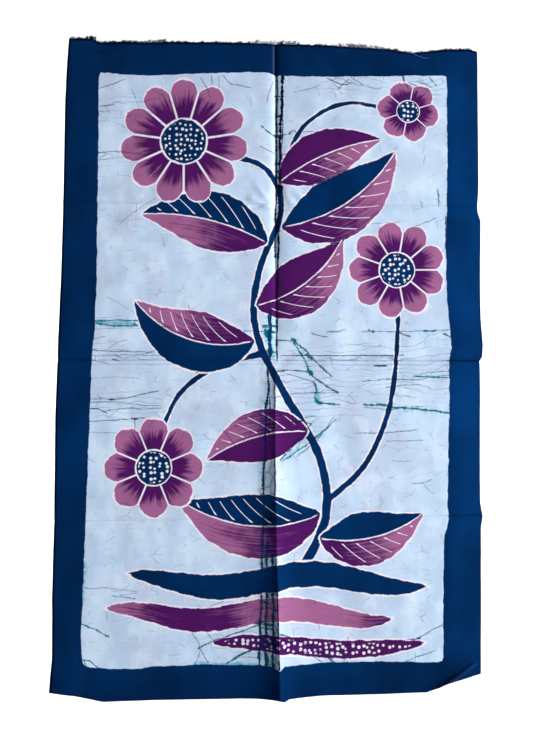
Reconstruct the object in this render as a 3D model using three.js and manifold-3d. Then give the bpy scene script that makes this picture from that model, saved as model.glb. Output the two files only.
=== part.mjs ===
import * as THREE from 'three';
import { mergeVertices } from 'three/addons/utils/BufferGeometryUtils.js';
import Module from 'manifold-3d';

// Wall tapestry: a dyed cotton panel that hangs by its top edge and still shows the creases
// it was stored in. It was folded in half from top to bottom, then from side to side, then
// in half again, so every fold turns from a valley to a ridge where it crosses an older one.

// Millimetres. X runs across the cloth, Z is up, and the wall is the plane Y = 0 behind it.
// The origin is the middle of the top edge, on the wall. The cloth faces -Y.

// Driving dimensions
const CLOTH_THICKNESS = 1.2;
const STAND_OFF = 6;
const LEAST_STAND_OFF = 0.4;
const EDGE_GAP = 0.4;
const STRIP_HEIGHT = 1.6;
const CROSSING_REACH = 8;

// The outline: where each edge runs, in the plane of the wall
const LEFT_EDGE = [
  { z: 8, x: -287 },
  { z: -24, x: -289 },
  { z: -82, x: -291 },
  { z: -224, x: -291 },
  { z: -336, x: -292.5 },
  { z: -420, x: -295 },
  { z: -529, x: -297 },
  { z: -665, x: -296 },
  { z: -771, x: -297 },
  { z: -850, x: -295.5 },
  { z: -890, x: -297.5 },
];
const RIGHT_EDGE = [
  { z: -10, x: 288.5 },
  { z: -110, x: 287.5 },
  { z: -205, x: 287 },
  { z: -240, x: 285 },
  { z: -254, x: 289 },
  { z: -330, x: 287 },
  { z: -392, x: 286.5 },
  { z: -427, x: 289 },
  { z: -442, x: 288.5 },
  { z: -449, x: 285 },
  { z: -557, x: 283 },
  { z: -640, x: 282 },
  { z: -660, x: 284.5 },
  { z: -675, x: 282.5 },
  { z: -771, x: 281 },
  { z: -875, x: 279 },
];
const TOP_EDGE = [
  { x: -292, z: 1 },
  { x: -284, z: 5.5 },
  { x: -256, z: 4.5 },
  { x: -247, z: -0.5 },
  { x: -100, z: 0 },
  { x: 0, z: -1.5 },
  { x: 39, z: -3 },
  { x: 102, z: -6 },
  { x: 160, z: -9.5 },
  { x: 196, z: -16 },
  { x: 236, z: -11.5 },
  { x: 278, z: -10 },
  { x: 292, z: -15 },
];
const BOTTOM_EDGE = [
  { x: -300, z: -889 },
  { x: -252, z: -897 },
  { x: -216, z: -905 },
  { x: -160, z: -903 },
  { x: -22, z: -900 },
  { x: 4, z: -900.5 },
  { x: 10, z: -902.5 },
  { x: 17, z: -899 },
  { x: 58, z: -896.5 },
  { x: 140, z: -895 },
  { x: 212, z: -892.5 },
  { x: 228, z: -886.5 },
  { x: 244, z: -880.5 },
  { x: 282, z: -870.5 },
];

// The upright fold: a shallow valley above the middle, a growing ridge below it
const UPRIGHT_FOLD = [
  { z: 8, x: 4, rise: -4.2, leftReach: 6, rightReach: 8 },
  { z: -150, x: 4, rise: -4.6, leftReach: 6, rightReach: 9 },
  { z: -300, x: 4, rise: -4.2, leftReach: 7, rightReach: 10 },
  { z: -425, x: 4, rise: -2.2, leftReach: 8, rightReach: 12 },
  { z: -470, x: 4, rise: 2.5, leftReach: 12, rightReach: 16 },
  { z: -560, x: 4, rise: 6, leftReach: 17, rightReach: 22 },
  { z: -660, x: 5, rise: 8.5, leftReach: 20, rightReach: 26 },
  { z: -780, x: 8, rise: 11, leftReach: 22, rightReach: 29 },
  { z: -905, x: 10.5, rise: 13, leftReach: 23, rightReach: 31 },
];

// The level folds: the height of each end, and how far each half stands in or out
const LEVEL_FOLDS = [
  { leftZ: -228, rightZ: -231, leftRise: 1.6, rightRise: -3, reachUp: 12, reachDown: 9 },
  { leftZ: -447, rightZ: -448, leftRise: -2.6, rightRise: -4.6, reachUp: 8, reachDown: 11 },
  { leftZ: -667, rightZ: -657, leftRise: -2.4, rightRise: 3.6, reachUp: 10, reachDown: 13 },
];

// Broad swells that the cloth keeps between its folds
const SWELLS = [
  { name: 'bulge over the middle fold, right', x: 278, z: -405, rise: 2.6, reachX: 60, reachZ: 34 },
  { name: 'bulge under the middle fold, right', x: 230, z: -500, rise: 1.4, reachX: 90, reachZ: 38 },
  { name: 'hollow of the upper left field', x: -160, z: -120, rise: -1.2, reachX: 90, reachZ: 60 },
  { name: 'belly of the upper right field', x: 150, z: -130, rise: 1.5, reachX: 100, reachZ: 70 },
  { name: 'belly of the left side', x: -210, z: -340, rise: 1.6, reachX: 70, reachZ: 70 },
  { name: 'hollow of the lower left field', x: -150, z: -570, rise: -1.5, reachX: 90, reachZ: 60 },
  { name: 'belly of the lower right field', x: 160, z: -770, rise: 1.8, reachX: 80, reachZ: 70 },
  { name: 'curl of the lower left corner', x: -290, z: -885, rise: 4.5, reachX: 34, reachZ: 30 },
];

// The tuck in the lower right corner: a lip that faces the middle and fades to the corner
const TUCK = {
  start: { x: 221, z: -892 },
  end: { x: 272, z: -856 },
  rise: 4.2,
  innerReach: 3,
  outerReach: 26,
  fadeFrom: 0.6,
  fadeTo: 1.12,
};

// Grid lines, as distances from the upright fold and as shares of each field between folds
const COLUMN_STEPS = [3, 7, 12, 19, 29, 46, 80, 120, 160, 193, 216, 233, 246.5, 255.5, 272];
const COLUMN_SPAN = 286;
const FOLD_ROWS = [0.02, 0.045, 0.09, 0.17, 0.32, 0.5, 0.68, 0.83, 0.91, 0.955, 0.98];
const HEM_ROWS = [0.02, 0.045, 0.09, 0.17, 0.32, 0.5, 0.66, 0.77, 0.84, 0.89, 0.93, 0.965];

// Where the top edge has ravelled, how thickly, and how long and which way its threads stand
const RAVELLED_STRETCHES = [
  { fromX: -282, toX: -264, locks: 6, shortest: 1, longest: 2, lean: 0.1 },
  { fromX: -263, toX: -248, locks: 9, shortest: 2.2, longest: 5, lean: 0.25 },
  { fromX: -244, toX: -214, locks: 9, shortest: 0.8, longest: 1.6, lean: 0.2 },
  { fromX: -213, toX: -202, locks: 6, shortest: 1.6, longest: 3.2, lean: 0.3 },
  { fromX: -199, toX: -179, locks: 8, shortest: 0.8, longest: 2, lean: 0.2 },
  { fromX: -178, toX: -150, locks: 17, shortest: 2.4, longest: 5.4, lean: 0.35 },
  { fromX: -147, toX: -30, locks: 22, shortest: 0.7, longest: 1.6, lean: 0.1 },
  { fromX: -28, toX: 36, locks: 40, shortest: 2.6, longest: 6.6, lean: 0.2 },
  { fromX: 39, toX: 92, locks: 10, shortest: 0.7, longest: 1.4, lean: 0 },
  { fromX: 94, toX: 150, locks: 34, shortest: 3, longest: 7, lean: -0.45 },
  { fromX: 152, toX: 178, locks: 12, shortest: 1.4, longest: 3.2, lean: -0.35 },
  { fromX: 182, toX: 280, locks: 20, shortest: 0.7, longest: 1.6, lean: 0.1 },
];

// How each thread of the ravelled edge is drawn, as shares of its own length where they vary
const LOCK = {
  seed: 7,
  sides: 3,
  rootRadius: 0.42,
  kneeRadius: 0.3,
  kneeHeight: 0.5,
  tipHeight: 0.95,
  placeJitter: 0.3,
  leanWave: 0.1,
  leanWaveLength: 30,
  bendSpread: 0.12,
  forwardSpread: 0.25,
  forwardBias: -0.08,
};

// Colours and finish
const NAVY_COTTON = { color: 0x0a2f5c, roughness: 0.9, metalness: 0 };
const RAVELLED_COTTON = { color: 0x2a3450, roughness: 0.95, metalness: 0 };

// Reads one column of a table at a place along another, straight between its rows
function lookUp(table, key, place, column) {
  const rising = table[table.length - 1][key] > table[0][key];
  const rows = rising ? table : [...table].reverse();
  if (place <= rows[0][key]) return rows[0][column];
  for (let i = 1; i < rows.length; i += 1) {
    if (place > rows[i][key]) continue;
    const share = (place - rows[i - 1][key]) / (rows[i][key] - rows[i - 1][key]);
    return THREE.MathUtils.lerp(rows[i - 1][column], rows[i][column], share);
  }
  return rows[rows.length - 1][column];
}

// A fold keeps a sharp crest and dies away on each side of it
function foldProfile(distance, reachBefore, reachAfter) {
  const reach = distance < 0 ? reachBefore : reachAfter;
  return Math.exp(-Math.abs(distance) / reach);
}

function uprightFoldRise(x, z) {
  const offset = x - lookUp(UPRIGHT_FOLD, 'z', z, 'x');
  const leftReach = lookUp(UPRIGHT_FOLD, 'z', z, 'leftReach');
  const rightReach = lookUp(UPRIGHT_FOLD, 'z', z, 'rightReach');
  return lookUp(UPRIGHT_FOLD, 'z', z, 'rise') * foldProfile(offset, leftReach, rightReach);
}

function levelFoldZ(fold, x) {
  const share = THREE.MathUtils.clamp((x + COLUMN_SPAN) / (2 * COLUMN_SPAN), 0, 1);
  return THREE.MathUtils.lerp(fold.leftZ, fold.rightZ, share);
}

function levelFoldRise(fold, x, z) {
  const crossing = lookUp(UPRIGHT_FOLD, 'z', z, 'x');
  const share = THREE.MathUtils.smoothstep(x, crossing - CROSSING_REACH, crossing + CROSSING_REACH);
  const rise = THREE.MathUtils.lerp(fold.leftRise, fold.rightRise, share);
  return rise * foldProfile(z - levelFoldZ(fold, x), fold.reachDown, fold.reachUp);
}

function swellRise(swell, x, z) {
  const across = (x - swell.x) / swell.reachX;
  const along = (z - swell.z) / swell.reachZ;
  return swell.rise * Math.exp(-across * across - along * along);
}

function tuckRise(x, z) {
  const run = new THREE.Vector2(TUCK.end.x - TUCK.start.x, TUCK.end.z - TUCK.start.z);
  const from = new THREE.Vector2(x - TUCK.start.x, z - TUCK.start.z);
  const length = run.length();
  const along = from.dot(run) / length;
  const outward = (from.x * run.y - from.y * run.x) / length;
  const fade = 1 - THREE.MathUtils.smoothstep(along / length, TUCK.fadeFrom, TUCK.fadeTo);
  return TUCK.rise * fade * foldProfile(outward, TUCK.innerReach, TUCK.outerReach);
}

// How far the back of the cloth stands off the wall
function standOff(x, z) {
  let rise = STAND_OFF + uprightFoldRise(x, z) + tuckRise(x, z);
  for (const fold of LEVEL_FOLDS) rise += levelFoldRise(fold, x, z);
  for (const swell of SWELLS) rise += swellRise(swell, x, z);
  return Math.max(rise, LEAST_STAND_OFF);
}

// Signed shares across the cloth: -1 at the left edge, 0 at the upright fold, 1 at the right
function columnShares() {
  const right = [...COLUMN_STEPS, COLUMN_SPAN].map((step) => step / COLUMN_SPAN);
  const left = right.map((share) => -share).reverse();
  return [...left, 0, ...right];
}

// Heights of the rows at one place across: the top edge, the three level folds, the bottom
function rowHeights(x) {
  const guides = [
    lookUp(TOP_EDGE, 'x', x, 'z'),
    ...LEVEL_FOLDS.map((fold) => levelFoldZ(fold, x)),
    lookUp(BOTTOM_EDGE, 'x', x, 'z'),
  ];
  const heights = [guides[0]];
  for (let field = 1; field < guides.length; field += 1) {
    const shares = field === guides.length - 1 ? HEM_ROWS : FOLD_ROWS;
    for (const share of [...shares, 1]) {
      heights.push(THREE.MathUtils.lerp(guides[field - 1], guides[field], share));
    }
  }
  return heights;
}

function acrossAt(share, z) {
  const middle = lookUp(UPRIGHT_FOLD, 'z', z, 'x');
  const edge = share < 0 ? lookUp(LEFT_EDGE, 'z', z, 'x') : lookUp(RIGHT_EDGE, 'z', z, 'x');
  return THREE.MathUtils.lerp(middle, edge, Math.abs(share));
}

// A closed slab from a grid of front points and the same grid of back points
function slabGeometry(front, back) {
  const columns = front.length;
  const rows = front[0].length;
  const backStart = columns * rows;
  const positions = [];
  for (const grid of [front, back]) {
    for (const column of grid) {
      for (const point of column) positions.push(point.x, point.y, point.z);
    }
  }
  const indices = [];
  const at = (column, row) => column * rows + row;
  const quad = (a, b, c, d) => indices.push(a, b, c, a, c, d);
  for (let i = 0; i < columns - 1; i += 1) {
    for (let j = 0; j < rows - 1; j += 1) {
      const corners = [at(i, j), at(i, j + 1), at(i + 1, j + 1), at(i + 1, j)];
      const behind = corners.map((corner) => corner + backStart).reverse();
      quad(...corners);
      quad(...behind);
    }
  }
  const rim = [];
  for (let i = 0; i < columns - 1; i += 1) rim.push(at(i, 0));
  for (let j = 0; j < rows - 1; j += 1) rim.push(at(columns - 1, j));
  for (let i = columns - 1; i > 0; i -= 1) rim.push(at(i, rows - 1));
  for (let j = rows - 1; j > 0; j -= 1) rim.push(at(0, j));
  rim.forEach((here, step) => {
    const next = rim[(step + 1) % rim.length];
    quad(here, next, next + backStart, here + backStart);
  });
  const geometry = new THREE.BufferGeometry();
  geometry.setAttribute('position', new THREE.Float32BufferAttribute(positions, 3));
  geometry.setIndex(indices);
  return geometry;
}

// The panel: every column runs from the top edge to the bottom one
function clothGeometry() {
  const front = [];
  const back = [];
  for (const share of columnShares()) {
    const frontColumn = [];
    const backColumn = [];
    for (const z of rowHeights(acrossAt(share, 0))) {
      const x = acrossAt(share, z);
      const lift = standOff(x, z);
      frontColumn.push(new THREE.Vector3(x, -lift - CLOTH_THICKNESS, z));
      backColumn.push(new THREE.Vector3(x, -lift, z));
    }
    front.push(frontColumn);
    back.push(backColumn);
  }
  return slabGeometry(front, back);
}

// The top edge of the panel's back, as the straight runs between its columns
const edgeLine = columnShares().map((share) => {
  const x = acrossAt(share, 0);
  const z = lookUp(TOP_EDGE, 'x', x, 'z');
  return { x: acrossAt(share, z), y: -standOff(x, z), z };
});

// A point of the ravelled strip, a height above the edge of the cloth
function stripPoint(x, height, depth) {
  const y = lookUp(edgeLine, 'x', x, 'y') - depth;
  const z = lookUp(edgeLine, 'x', x, 'z') + EDGE_GAP + height;
  return new THREE.Vector3(x, y, z);
}

function stripGeometry() {
  const grid = (depth) => edgeLine.map(({ x }) => [
    stripPoint(x, STRIP_HEIGHT, depth),
    stripPoint(x, 0, depth),
  ]);
  return slabGeometry(grid(CLOTH_THICKNESS), grid(0));
}

function seededRandom(seed) {
  let state = seed;
  return () => {
    state = (state * 1664525 + 1013904223) % 4294967296;
    return state / 4294967296;
  };
}

// One lock: a three-sided thread, bent once at its knee, thinning from its root to a point
function lockGeometry(root, length, lean, bend, forward) {
  const knee = new THREE.Vector3(lean, -forward, 1).multiplyScalar(LOCK.kneeHeight * length);
  const tip = new THREE.Vector3(lean + bend, -2 * forward, LOCK.tipHeight).multiplyScalar(length);
  const rings = [
    { centre: root, radius: LOCK.rootRadius },
    { centre: root.clone().add(knee), radius: LOCK.kneeRadius },
  ];
  const positions = [];
  for (const ring of rings) {
    for (let side = 0; side < LOCK.sides; side += 1) {
      const angle = (side / LOCK.sides) * Math.PI * 2;
      positions.push(
        ring.centre.x + ring.radius * Math.cos(angle),
        ring.centre.y + ring.radius * Math.sin(angle),
        ring.centre.z,
      );
    }
  }
  const tipIndex = rings.length * LOCK.sides;
  positions.push(root.x + tip.x, root.y + tip.y, root.z + tip.z);
  const indices = [0, 2, 1];
  for (let side = 0; side < LOCK.sides; side += 1) {
    const next = (side + 1) % LOCK.sides;
    const above = LOCK.sides + side;
    const aboveNext = LOCK.sides + next;
    indices.push(side, next, aboveNext, side, aboveNext, above, above, aboveNext, tipIndex);
  }
  const geometry = new THREE.BufferGeometry();
  geometry.setAttribute('position', new THREE.Float32BufferAttribute(positions, 3));
  geometry.setIndex(indices);
  return geometry;
}

// Every lock of the ravelled edge, stretch by stretch, rooted inside the strip
function lockGeometries() {
  const random = seededRandom(LOCK.seed);
  const spread = (width) => width * (random() - 0.5);
  const locks = [];
  for (const stretch of RAVELLED_STRETCHES) {
    const pitch = (stretch.toX - stretch.fromX) / stretch.locks;
    for (let i = 0; i < stretch.locks; i += 1) {
      const x = stretch.fromX + pitch * (i + 0.5 + spread(LOCK.placeJitter));
      const length = THREE.MathUtils.lerp(stretch.shortest, stretch.longest, random());
      const wave = LOCK.leanWave * Math.sin((x / LOCK.leanWaveLength) * Math.PI * 2);
      const root = stripPoint(x, STRIP_HEIGHT / 2, CLOTH_THICKNESS / 2);
      const bend = spread(LOCK.bendSpread);
      const forward = LOCK.forwardBias + spread(LOCK.forwardSpread);
      const whole = length + STRIP_HEIGHT / 2;
      locks.push(lockGeometry(root, whole, stretch.lean + wave, bend, forward));
    }
  }
  return locks;
}

// Solids are joined as closed meshes that share their vertices
const solids = await Module();
solids.setup();

function toSolid(geometry) {
  const merged = mergeVertices(geometry);
  return new solids.Manifold(new solids.Mesh({
    numProp: 3,
    vertProperties: Float32Array.from(merged.attributes.position.array),
    triVerts: Uint32Array.from(merged.index.array),
  }));
}

function fromSolid(solid) {
  const mesh = solid.getMesh();
  const geometry = new THREE.BufferGeometry();
  geometry.setAttribute('position', new THREE.Float32BufferAttribute(mesh.vertProperties, 3));
  geometry.setIndex([...mesh.triVerts]);
  return geometry;
}

function frayedEdgeGeometry() {
  let edge = toSolid(stripGeometry());
  for (const lock of lockGeometries()) edge = edge.add(toSolid(lock));
  return fromSolid(edge);
}

function namedMesh(name, geometry, finish) {
  geometry.computeVertexNormals();
  const mesh = new THREE.Mesh(geometry, new THREE.MeshStandardMaterial(finish));
  mesh.name = name;
  return mesh;
}

const tapestry = new THREE.Group();
tapestry.add(namedMesh('cloth_panel', clothGeometry(), NAVY_COTTON));
tapestry.add(namedMesh('frayed_top_edge', frayedEdgeGeometry(), RAVELLED_COTTON));

export default tapestry;
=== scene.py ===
"""A dyed cotton wall tapestry, its ravelled top edge, and the pale studio it is shown in."""

import math

import bmesh
import bpy
import numpy as np
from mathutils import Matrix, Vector


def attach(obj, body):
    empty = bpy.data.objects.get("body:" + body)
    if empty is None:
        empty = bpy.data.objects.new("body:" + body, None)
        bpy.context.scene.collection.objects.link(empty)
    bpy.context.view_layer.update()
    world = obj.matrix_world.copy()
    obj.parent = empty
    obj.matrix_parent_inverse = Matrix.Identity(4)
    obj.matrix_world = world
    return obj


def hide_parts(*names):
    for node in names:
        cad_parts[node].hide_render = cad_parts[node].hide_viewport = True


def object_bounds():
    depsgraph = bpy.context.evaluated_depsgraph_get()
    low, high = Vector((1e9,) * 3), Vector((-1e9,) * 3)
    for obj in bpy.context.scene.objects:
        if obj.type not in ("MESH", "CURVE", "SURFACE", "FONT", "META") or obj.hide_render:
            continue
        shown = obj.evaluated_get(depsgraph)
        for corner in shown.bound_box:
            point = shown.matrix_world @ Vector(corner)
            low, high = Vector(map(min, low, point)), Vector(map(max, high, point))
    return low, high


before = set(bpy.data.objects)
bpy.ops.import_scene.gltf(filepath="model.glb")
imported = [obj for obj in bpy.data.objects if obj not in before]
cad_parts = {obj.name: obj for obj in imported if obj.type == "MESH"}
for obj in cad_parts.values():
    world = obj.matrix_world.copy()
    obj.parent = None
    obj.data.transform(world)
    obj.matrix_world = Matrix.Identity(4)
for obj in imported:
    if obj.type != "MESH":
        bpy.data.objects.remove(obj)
cad_low, cad_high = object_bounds()

bl_info = {
    "name": "Dyed wall tapestry",
    "version": (1, 0, 0),
    "blender": (4, 5, 0),
    "location": "3D View > Sidebar > Tapestry",
    "description": "Builds a hand-dyed cotton hanging with its folds, crackle and ravelled edge",
    "category": "Add Mesh",
}


def rows(columns, *given):
    """A table with named columns, as one dict for each row."""
    return [dict(zip(columns.split(), row)) for row in given]


# Sizes in millimetres, in the frame of the solids: X across, Z up, the wall at Y = 0
MM = 0.001
SOLID_THICKNESS = 1.2
STAND_OFF = 6.0
LEAST_STAND_OFF = 0.4
STRIP_RISE = 2.4
HALF_WIDTH = 286.0
FOLD_U = 4.0
CROSSING_REACH = 8.0
CROWDING_STEPS = 4000
FAR = 1e3

# Flat cloth heights of the top edge, the three level folds and the bottom edge
FLAT_ROWS = [0.0, -228.0, -447.0, -664.0, -900.0]

# The outline: where each edge runs
LEFT_EDGE = rows(
    "z x",
    (8, -287), (-24, -289), (-82, -291), (-224, -291), (-336, -292.5), (-420, -295), (-529, -297),
    (-665, -296), (-771, -297), (-850, -295.5), (-890, -297.5),
)
RIGHT_EDGE = rows(
    "z x",
    (-10, 288.5), (-110, 287.5), (-205, 287), (-240, 285), (-254, 289), (-330, 287), (-392, 286.5),
    (-427, 289), (-442, 288.5), (-449, 285), (-557, 283), (-640, 282), (-660, 284.5),
    (-675, 282.5), (-771, 281), (-875, 279),
)
TOP_EDGE = rows(
    "x z",
    (-292, 1), (-284, 5.5), (-247, 5.5), (-243, 0), (-100, 0), (0, -1.5), (39, -3), (102, -6),
    (160, -9.5), (196, -16), (236, -11.5), (278, -10), (292, -15),
)
BOTTOM_EDGE = rows(
    "x z",
    (-300, -889), (-252, -897), (-216, -905), (-160, -903), (-22, -900), (4, -900.5), (10, -902.5),
    (17, -899), (58, -896.5), (140, -895), (212, -892.5), (228, -886.5), (244, -880.5),
    (282, -870.5), (290, -868.3),
)

# The folds, as the solids have them
UPRIGHT_FOLD = rows(
    "z x rise left right crisp",
    (8, 4, -4.2, 6, 8, 0.35), (-150, 4, -4.6, 6, 9, 0.35), (-300, 4, -4.2, 7, 10, 0.35),
    (-425, 4, -2.2, 8, 12, 0.3), (-470, 4, 2.5, 12, 16, 0.2), (-560, 4, 6, 17, 22, 0.1),
    (-660, 5, 8.5, 20, 26, 0.05), (-780, 8, 11, 22, 29, 0.04), (-905, 10.5, 13, 23, 31, 0.04),
)
LEVEL_FOLDS = rows(
    "left_z right_z left_rise right_rise up down",
    (-228, -231, 1.6, -3, 12, 9), (-447, -448, -2.6, -4.6, 8, 11), (-667, -657, -2.4, 3.6, 10, 13),
)
SWELLS = rows(
    "x z rise reach_x reach_z",
    (278, -405, 2.6, 60, 34), (230, -500, 1.4, 90, 38), (-160, -120, -1.2, 90, 60),
    (150, -130, 1.5, 100, 70), (-210, -340, 1.6, 70, 70), (-150, -570, -1.5, 90, 60),
    (160, -770, 1.8, 80, 70), (-290, -885, 4.5, 34, 30),
)
TUCK = {
    "start": (212, -893), "end": (267, -855), "rise": 4.2,
    "inner": 3, "outer": 26, "fade_from": 0.6, "fade_to": 1.12,
}

# The small creases of the cloth alone
CRISP_SHARE = 0.35
CRISP_REACH = 2.6
RUMPLE_WAVES = 14
RUMPLES = rows(
    "length rise seed",
    (60, 0.3, 3), (24, 0.1, 5),
)
PUCKERS = rows(
    "from to rise reach",
    ((-270, -13), (-222, -8), 1.1, 5), ((10, -190), (42, -213), 1.4, 5),
    ((10, -224), (48, -220), -1.1, 4), ((12, -246), (34, -234), 0.6, 4),
    ((-291, -822), (-284, -852), -0.7, 3), ((-290, -447), (290, -448), -0.6, 1.8),
    ((120, -20), (200, -30), 0.5, 8), ((-30, -222), (-4, -234), 1.9, 4),
    ((-34, -238), (-8, -226), -1.4, 4), ((20, -208), (44, -222), 1.8, 4),
    ((-24, -200), (-7, -224), 1.4, 3.5), ((14, -206), (26, -226), 1.4, 3.5),
    ((34, -200), (47, -218), -1.2, 4),
)

# The pale panel inside the dyed border, along each of its four sides
PANEL_LEFT = rows(
    "z x",
    (-43, -244), (-224, -243), (-330, -242.5), (-400, -244.5), (-447, -248), (-570, -251),
    (-700, -254), (-824, -257), (-860, -254),
)
PANEL_RIGHT = rows(
    "z x",
    (-46, 245), (-224, 243), (-294, 240), (-364, 241), (-412, 244), (-430, 246), (-443, 243),
    (-502, 242), (-645, 237.5), (-662, 239), (-690, 232), (-771, 230), (-852, 229),
)
PANEL_TOP = rows(
    "x z",
    (-244, -42.5), (-240, -41), (-236, -42.8), (-230, -41), (-225, -43.5), (-172, -46),
    (-102, -43), (-32, -41), (-4, -42), (6, -46), (81, -48), (151, -47), (245, -46),
)
PANEL_BOTTOM = rows(
    "x z",
    (-252, -859), (-217, -862), (-177, -862), (-157, -858), (-97, -856), (-17, -856), (0, -857),
    (10, -862), (16, -857), (77, -853), (144, -852), (229, -853),
)
PANEL_CORNERS = {"top": 2.0, "bottom_left": 9.0, "bottom_right": 4.0}

# The dyed design: a flowering plant over three ribbons of colour
STEMS = rows(
    "start end points",
    (7, 4.2, [(30, -742), (72, -668), (66, -580), (14, -490), (-26, -400), (-16, -312),
              (14, -240), (-6, -180), (-60, -160)]),
    (5, 3.6, [(72, -640), (126, -592), (158, -520), (170, -450), (173, -385)]),
    (4.8, 3.6, [(-10, -438), (-70, -452), (-126, -490), (-150, -540)]),
    (4.2, 3.2, [(10, -215), (34, -128), (96, -86), (150, -92)]),
)
PATH_STEPS = 16
PATH_PASSES = 30
NAVY_ABOVE, NAVY_BELOW, PLUM_ABOVE = 0, 1, 2
LEAVES = rows(
    "base heading length width bend tone",
    ((62, -688), -12, 150, 37, 50, NAVY_ABOVE),
    ((66, -655), 205, 206, 44, -62, NAVY_BELOW),
    ((50, -545), 176, 150, 36, 40, PLUM_ABOVE),
    ((-24, -420), 196, 188, 42, -70, NAVY_ABOVE),
    ((-24, -372), 12, 160, 40, 52, PLUM_ABOVE),
    ((-6, -285), 150, 186, 42, 34, NAVY_BELOW),
    ((12, -262), 8, 200, 45, 52, NAVY_ABOVE),
    ((8, -200), 40, 160, 36, -34, PLUM_ABOVE),
)
BLOOMS = rows(
    "centre outer petals turn",
    ((-124, -140), 90, 11, 8), ((172, -322), 68, 9, 20), ((-162, -594), 68, 8, 0),
    ((190, -98), 44, 6, 12),
)
NAVY_RIBBON, BRUSHED_RIBBON, SEEDED_RIBBON = 0, 1, 2
RIBBONS = rows(
    "x z half thick wave length phase kind",
    (6, -745, 206, 18, 9, 260, 0.3, NAVY_RIBBON),
    (-32, -790, 196, 17, 8, 230, 1.1, BRUSHED_RIBBON),
    (62, -831, 146, 13, 5, 280, 2.4, SEEDED_RIBBON),
)

# How those shapes run. The slopes turn a gap measured straight out, or straight up, into
# something near the true distance.
LEAF_SKEW, LEAF_FULLNESS, LEAF_STEP = 0.82, 0.92, 0.002
PETAL_DEPTH, PETAL_ROUNDNESS, BLOOM_SLOPE = 0.28, 0.55, 0.8
RIBBON_TAPER, RIBBON_POINT, RIBBON_SLOPE = 3.2, 0.75, 0.95

# Where the wax has cracked most, and how much anywhere else
LEAST_CRACKLE = 0.10
CRACKLED = rows(
    "x z reach_x reach_z share",
    (-200, -440, 70, 20, 0.75), (-205, -508, 60, 24, 0.95), (150, -445, 130, 24, 0.9),
    (55, -500, 60, 55, 0.75), (185, -480, 70, 34, 0.6), (110, -60, 50, 14, 0.9),
    (215, -62, 34, 16, 0.9), (-200, -96, 60, 26, 0.55), (-210, -160, 50, 16, 0.6),
    (-60, -830, 60, 24, 0.5),
)

# Soft washes of teal dye under the wax
STAINS = rows(
    "from to reach share",
    ((-243, -395), (-192, -397), 4.5, 0.75), ((-3, -384), (-2, -440), 5, 0.55),
    ((-5, -408), (-4, -418), 7, 0.9), ((26, -530), (42, -531), 4, 0.5),
    ((60, -492), (63, -506), 5, 0.7), ((14, -582), (70, -548), 4.5, 0.5),
    ((180, -514), (205, -515), 5, 0.5), ((196, -471), (216, -470), 4, 0.4),
    ((-256, -724), (-257, -771), 5, 0.8), ((-105, -856), (-21, -856), 4, 0.8),
    ((20, -818), (80, -850), 5, 0.45), ((29, -421), (50, -444), 4.5, 0.45),
    ((46, -444), (49, -462), 4, 0.5), ((140, -509), (241, -520), 4.5, 0.42),
    ((16, -580), (50, -548), 6, 0.5),
)

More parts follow.
